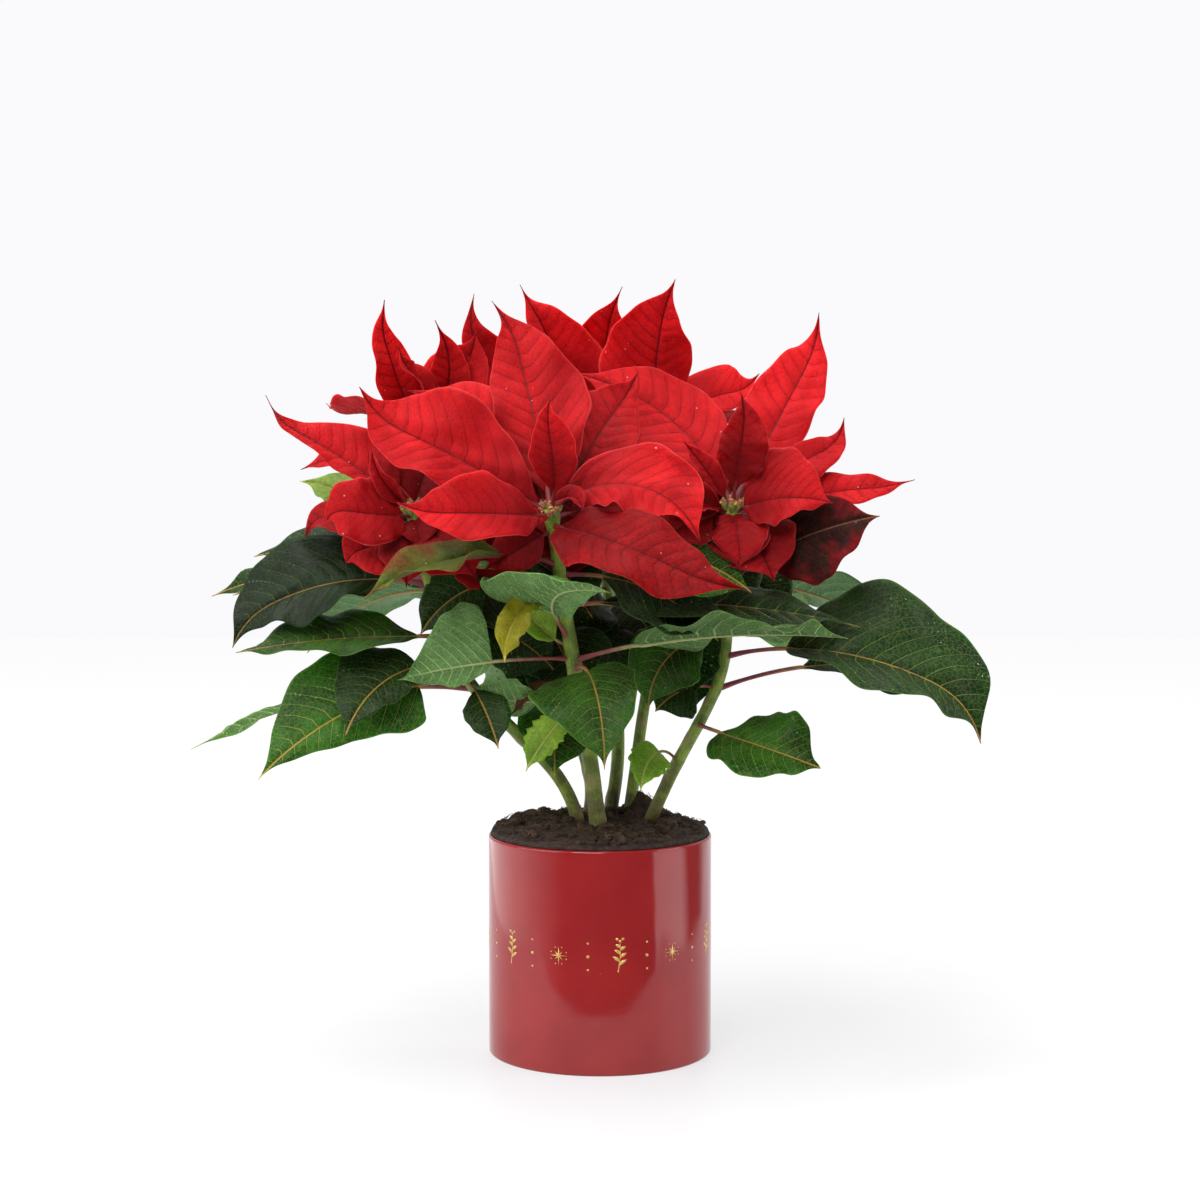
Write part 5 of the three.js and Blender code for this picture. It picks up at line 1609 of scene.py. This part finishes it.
@dataclass(frozen=True)
class GoldFrieze:
    """Small gold motifs in a row all round the pot: stars and two-leaved sprigs by turns."""

    radius: float = Pot.diameter / 2
    middle: float = 63.0         # height of the motifs' middles
    count: int = 12
    line: float = 0.55
    proud: float = 0.06
    sunk: float = -0.1           # how deep the print's back lies in the wall
    column: float = 7.0          # distance between the three dots between two motifs
    star: Pair = (5.2, 0.9)      # reach of a star's rays and of the notches between them
    rays: int = 8
    halo: float = 4.6            # radius of the ring of dots round a star
    sprig: float = 15.0          # height of a sprig's twig
    leaf: float = 5.2

    LEAVES = ((0.25, 1), (0.38, -1), (0.52, 1), (0.64, -1), (0.76, 1), (0.86, -1))  # share, side
    LEAF_TURN = 52.0             # from upright, in degrees

    def build(self) -> None:
        """Makes the whole frieze as one piece."""
        draft = Draft("gold_frieze")
        half = math.pi * self.radius / self.count
        for k in range(self.count):
            across = 2 * math.pi * self.radius * (k + 0.3) / self.count - math.pi * self.radius / 2
            add_motif = self.add_star if k % 2 else self.add_sprig
            add_motif(draft, across, self.middle)
            for up, size in ((self.column, 0.55), (-self.column, 0.55), (0.0, 0.8)):
                self.add_dot(draft, across + half, self.middle + up, size)
        place_piece(draft, [GoldFinish().material()], "gold_print")

    def wrap(self, flat: np.ndarray, lift: float) -> np.ndarray:
        """Bends the unrolled wall round the pot.

        Args:
            flat: points on it, across and up.
            lift: how far they stand off the wall.

        Returns:
            The points in space.
        """
        turn = flat[:, 0] / self.radius
        out = self.radius + lift
        return np.stack([out * np.cos(turn), out * np.sin(turn), flat[:, 1]], 1)

    def add_stroke(self, draft: Draft, path: np.ndarray, widths: np.ndarray) -> None:
        """Adds a line of the print.

        Args:
            draft: the piece that it becomes part of.
            path: the points that it follows, across and up.
            widths: its width at each of them.
        """
        way = unit(np.gradient(path, axis=0))
        off = np.stack([-way[:, 1], way[:, 0]], 1) * widths[:, None] / 2
        sides = [(path - off, self.sunk), (path + off, self.sunk), (path + off, self.proud),
                 (path - off, self.proud)]
        rings = np.stack([self.wrap(flat, lift) for flat, lift in sides], 1)
        points = rings.reshape(-1, 3)
        faces = net(len(path), 4, True)
        faces += [[0, 1, 2, 3], [len(points) - 1 - k for k in range(4)]]
        draft.add(points, faces)

    def add_dot(self, draft: Draft, across: float, up: float, size: float) -> None:
        """Adds a round dot."""
        self.add_rays(draft, across, up, size, size, 16)

    def add_star(self, draft: Draft, across: float, up: float) -> None:
        """Adds a star with a ring of small dots, one between every two rays."""
        self.add_rays(draft, across, up, *self.star, self.rays)
        for k in range(self.rays):
            turn = 2 * math.pi * (k + 0.5) / self.rays
            self.add_dot(draft, across + self.halo * math.cos(turn),
                         up + self.halo * math.sin(turn), 0.3)

    def add_rays(self, draft: Draft, across: float, up: float, far: float, near: float,
                 points: int) -> None:
        """Adds a flat star, every other ray of it shorter; with far and near alike it is a disc.

        Args:
            draft: the piece that it becomes part of.
            across: the place of its middle along the unrolled wall.
            up: the height of its middle.
            far: the reach of its rays.
            near: the reach of the notches between them.
            points: how many rays it has.
        """
        turn = np.pi * np.arange(2 * points) / points + math.pi / 2
        long = np.where(np.arange(2 * points) % 4 == 0, far, 0.62 * far) if far > near else far
        reach = np.where(np.arange(2 * points) % 2 == 0, long, near)
        flat = np.stack([across + reach * np.cos(turn), up + reach * np.sin(turn)], 1)
        count = len(flat)
        low, high = self.wrap(flat, self.sunk), self.wrap(flat, self.proud)
        middle = [self.wrap(np.array([[across, up]]), lift) for lift in (self.sunk, self.proud)]
        faces = []
        for k in range(count):
            after = (k + 1) % count
            faces += [[k, after, count + after, count + k], [2 * count, after, k],
                      [2 * count + 1, count + k, count + after]]
        draft.add(np.vstack([low, high, *middle]), faces)

    def add_sprig(self, draft: Draft, across: float, up: float) -> None:
        """Adds a short twig with leaf pairs and three berries.

        Args:
            draft: the piece that it becomes part of.
            across: the place of its middle along the wall.
            up: the height of its middle.
        """
        t = np.linspace(0, 1, 24)
        twig = np.stack([across + 1.2 * np.sin(2.2 * t), up - 8 + self.sprig * t], 1)
        self.add_stroke(draft, twig, self.line * (1 - 0.4 * t))
        for share, side in self.LEAVES:
            foot = twig[int(share * (len(twig) - 1))]
            long = self.leaf * (1.15 - 0.6 * share)
            turn = math.radians(90 - self.LEAF_TURN * side)
            ahead = np.stack([np.cos(turn) * long * t, np.sin(turn) * long * t], 1)
            bow = np.stack([-np.sin(turn) * t * (1 - t), np.cos(turn) * t * (1 - t)], 1)
            self.add_stroke(draft, foot + ahead + 1.3 * side * bow,
                            0.12 + 1.5 * np.sin(np.pi * t) ** 1.2)
        for k in range(3):
            self.add_dot(draft, across + 1.6 * (k - 1) + 1.0, up + 9.2 - 1.1 * (k % 2), 0.7)


@dataclass(frozen=True)
class Soil:
    """The heap of potting mix, with lumps, bits of bark and root fibres on it."""

    gap: float = 0.3             # between the soil and the pot
    radius: float = Pot.diameter / 2 - 1.0   # the heap covers most of the rim
    inner: float = Pot.diameter / 2 - Pot.wall - gap
    bottom: float = Pot.floor + gap
    waist: float = 60.0          # height of a ring of points half way down the side
    lip: float = Pot.height + gap
    rise: float = 9.0            # how much higher the heap's middle is than its edge
    lumps: int = 420
    fibres: int = 420

    CLUMPS = ((23, 15, 12, 6.5), (-34, 6, 2.5, 8), (40, -20, 2, 6))   # x, y, height and spread
    HEAP = ((1.0, 0.0), (0.99, 0.22), (0.9, 0.47), (0.75, 0.62), (0.56, 0.76), (0.36, 0.89),
            (0.17, 1.0), (0.0, 1.0))

    def height(self, x: float, y: float) -> float:
        """The height of the heap's own surface, without what lies on it.

        Args:
            x: a place's distance from the middle, to the right.
            y: its distance from the middle, to the back.

        Returns:
            The height over the table.
        """
        shares, ups = zip(*self.HEAP[::-1])
        across = math.hypot(x, y) / self.radius
        heap = self.lip + self.rise * float(np.interp(across, shares, ups))
        lump = 1.3 * (math.sin(x / 7.3 + 1.1) * math.cos(y / 6.1)
                      + 0.6 * math.sin((x + y) / 3.9) * math.cos((x - 2 * y) / 8.7 + 0.4))
        crumbs = noise.fractal(Vector((x, y, 7)) / 5.5, 0.8, 2.1, 5)
        edge = float(ease(-across, -1.0, -0.93))
        for east, north, high, spread in self.CLUMPS:
            heap += high * math.exp(-((x - east) ** 2 + (y - north) ** 2) / (2 * spread**2))
        return heap + edge * (lump + 1.6 * crumbs)

    def build(self) -> None:
        """Makes the heap and what lies on it."""
        self.build_heap()
        self.build_lumps()
        self.build_fibres()

    def place(self, draft: Draft, finish: SoilFinish) -> None:
        """Puts one piece of the soil in its place."""
        place_piece(draft, [finish.material()], "soil", "soil")

    def spot(self, rng: np.random.Generator, share: float) -> Pair:
        """Draws a random spot on the heap.

        Args:
            rng: where the draws come from.
            share: the share of the heap's radius that it stays within.

        Returns:
            Its distances from the middle, to the right and to the back.
        """
        across = self.radius * share * math.sqrt(rng.uniform(0, 1))
        turn = rng.uniform(0, 2 * math.pi)
        return across * math.cos(turn), across * math.sin(turn)

    def build_heap(self) -> None:
        """Makes the body of the soil, down to the floor of the pot."""
        sides, rings = 200, 70
        radii = [self.radius * r for r in np.linspace(0.012, 1, rings)]
        profile = ([(0.0, 0.0)] + [(r, 0.0) for r in radii]
                   + [(self.inner, up) for up in (self.lip, self.waist, self.bottom)]
                   + [(0.0, self.bottom)])
        points, faces = turned(profile, sides)
        heap = np.r_[0:rings * sides, len(points) - 2]
        points[heap, 2] = [self.height(x, y) for x, y in points[heap, :2]]
        draft = Draft("soil_heap")
        draft.add(points, faces)
        self.place(draft, SoilFinish("potting mix", "#34221a", "#745440"))

    def build_lumps(self) -> None:
        """Makes crumbs of peat and bits of bark all over the heap."""
        rng = draws("lumps")
        draft = Draft("soil_crumbs")
        for _ in range(self.lumps):
            x, y = self.spot(rng, 0.96)
            size = rng.uniform(0.8, 3.0) * rng.uniform(0.6, 1.0)
            profile = [(math.sin(a) * size, -math.cos(a) * size) for a in np.linspace(0, np.pi, 9)]
            profile[0], profile[-1] = (0.0, -size), (0.0, size)
            points, faces = turned(profile, 10)
            stretch = np.array([rng.uniform(0.8, 1.6), rng.uniform(0.7, 1.1), rng.uniform(0.5, 0.8)])
            shift = rng.uniform(0, 90, 3)
            rough = [1 + 0.45 * noise.noise(Vector(p * 0.9 + shift)) for p in points / size]
            points = points * np.array(rough)[:, None] * stretch
            spin = rng.uniform(0, 2 * math.pi)
            points[:, :2] = points[:, :2] @ np.array([[math.cos(spin), -math.sin(spin)],
                                                      [math.sin(spin), math.cos(spin)]])
            points = points + np.array([x, y, self.height(x, y) + 0.15 * size])
            draft.add(points, faces, 0, points, None, float(rng.uniform(-0.7, 1.0)))
        self.place(draft, SoilFinish("peat crumb", "#38251b", "#7c5a44"))

    def build_fibres(self) -> None:
        """Makes the thin golden-brown root fibres that lie on the heap."""
        rng = draws("fibres")
        draft = Draft("soil_fibres")
        for _ in range(self.fibres):
            x, y = self.spot(rng, 0.93)
            heading, bend = rng.uniform(0, 2 * math.pi), rng.uniform(-1.2, 1.2)
            step = rng.uniform(0.8, 2.6)
            spots = []
            for k in range(5):
                spots.append((x, y, self.height(x, y) + 0.5 + rng.uniform(0, 1.6)))
                x += step * math.cos(heading + bend * k)
                y += step * math.sin(heading + bend * k)
                hold = min(1.0, 0.95 * self.radius / max(math.hypot(x, y), 1e-6))
                x, y = x * hold, y * hold
            curve = Curve(spots)
            shares = np.linspace(0, 1, 12)
            radii = rng.uniform(0.1, 0.22) * (1 - 0.5 * shares)
            points, faces, _ = tube(curve.at(shares), curve.along(shares), radii, 6, (0.1, 0.2, 1))
            draft.add(points, faces, 0, points, None, float(rng.uniform(-0.6, 1.0)))
        self.place(draft, SoilFinish("root fibre", "#70502e", "#ab8450"))


# ---- studio ------------------------------------------

@dataclass(frozen=True)
class Softbox:
    """One square studio light."""

    name: str
    place: Triple                # in metres, as the aim and the size
    aim: Triple
    size: float
    watts: float

    def build(self) -> None:
        """Makes the light and turns it to its aim."""
        data = bpy.data.lights.new(self.name, "AREA")
        data.shape, data.size = "SQUARE", self.size
        data.energy = self.watts
        lamp = bpy.data.objects.new(self.name, data)
        lamp.location = self.place
        way = Vector(self.aim) - Vector(self.place)
        lamp.rotation_euler = way.to_track_quat("-Z", "Y").to_euler()
        bpy.context.scene.collection.objects.link(lamp)


@dataclass(frozen=True)
class Studio:
    """Floor, lights and camera."""

    floor_half: float = 2600.0
    floor_thickness: float = 20.0
    camera_place: Triple = (0.0, -1.345, 0.339)
    camera_tilt: float = 4.05    # degrees that it looks down
    lens: float = 75.54
    sensor: float = 36.0
    dim_sky: float = 0.1         # light from behind the camera
    full_sky: float = 0.75       # light from the back
    upper_sky: float = 0.3       # light that the sky gains from its horizon upward
    backdrop: float = 0.97       # brightness that the camera sees
    tint: Colour = (0.985, 0.98, 1.0, 1.0)
    lights: tuple[Softbox, ...] = (
        Softbox("left light", (-1.25, -0.5, 0.75), (0, 0, 0.2), 1.3, 14),
        Softbox("right light", (1.35, -0.3, 0.7), (0, 0, 0.18), 0.75, 8),
        Softbox("top light", (-0.3, 0.0, 1.7), (0, 0, 0.3), 1.0, 20),
        Softbox("front light", (-0.35, -1.3, 1.45), (0, 0, 0.32), 0.9, 20),
    )

    def build(self) -> None:
        """Makes the whole studio."""
        self.build_floor()
        self.build_sky()
        for light in self.lights:
            light.build()
        self.build_camera()

    def build_floor(self) -> None:
        """Makes the pale floor as one thin slab with its top at zero."""
        half = self.floor_half
        ring = [(-half, -half), (half, -half), (half, half), (-half, half)]
        points = np.array([(x, y, z) for z in (0.0, -self.floor_thickness) for x, y in ring])
        faces = [[0, 1, 2, 3], [7, 6, 5, 4]]
        faces += [[k, k + 4, (k + 1) % 4 + 4, (k + 1) % 4] for k in range(4)]
        draft = Draft("studio_floor")
        draft.add(points, faces)
        draft.build([FloorFinish().material()], smooth=False)

    def build_sky(self) -> None:
        """Gives the world a pale light that is dim behind the camera and full at the back."""
        world = bpy.data.worlds.new("studio")
        world.use_nodes = True
        graph = Graph(world.node_tree)
        way = graph.parts(graph.add("TexCoord").outputs["Generated"])
        light = graph.step(way[1], -0.6, 0.8, self.dim_sky, self.full_sky)
        light = graph.line(graph.step(way[2], 0.0, 1.0), self.upper_sky, light)
        seen = graph.add("LightPath").outputs["Is Camera Ray"]
        kept = graph.times(light, graph.math("SUBTRACT", 1.0, seen))
        strength = graph.line(seen, self.backdrop, kept)
        background = graph.add("Background", {"Color": self.tint, "Strength": strength})
        graph.add("OutputWorld", {"Surface": background.outputs[0]})
        bpy.context.scene.world = world

    def build_camera(self) -> None:
        """Makes the camera, level with the upper half of the plant."""
        data = bpy.data.cameras.new("camera")
        data.lens, data.sensor_width = self.lens, self.sensor
        camera = bpy.data.objects.new("camera", data)
        camera.location = self.camera_place
        camera.rotation_euler = (math.radians(90 - self.camera_tilt), 0, 0)
        bpy.context.scene.collection.objects.link(camera)
        bpy.context.scene.camera = camera


def main() -> None:
    """Builds the pot, the soil and the plant in order, then the studio."""
    logging.basicConfig(level=logging.INFO, format="%(name)s %(message)s")
    bpy.context.scene.view_settings.view_transform = "Standard"
    Pot().build()
    GoldFrieze().build()
    Soil().build()
    for stem in STEMS:
        stem.build()
    Studio().build()


if __name__ == "__main__":
    main()
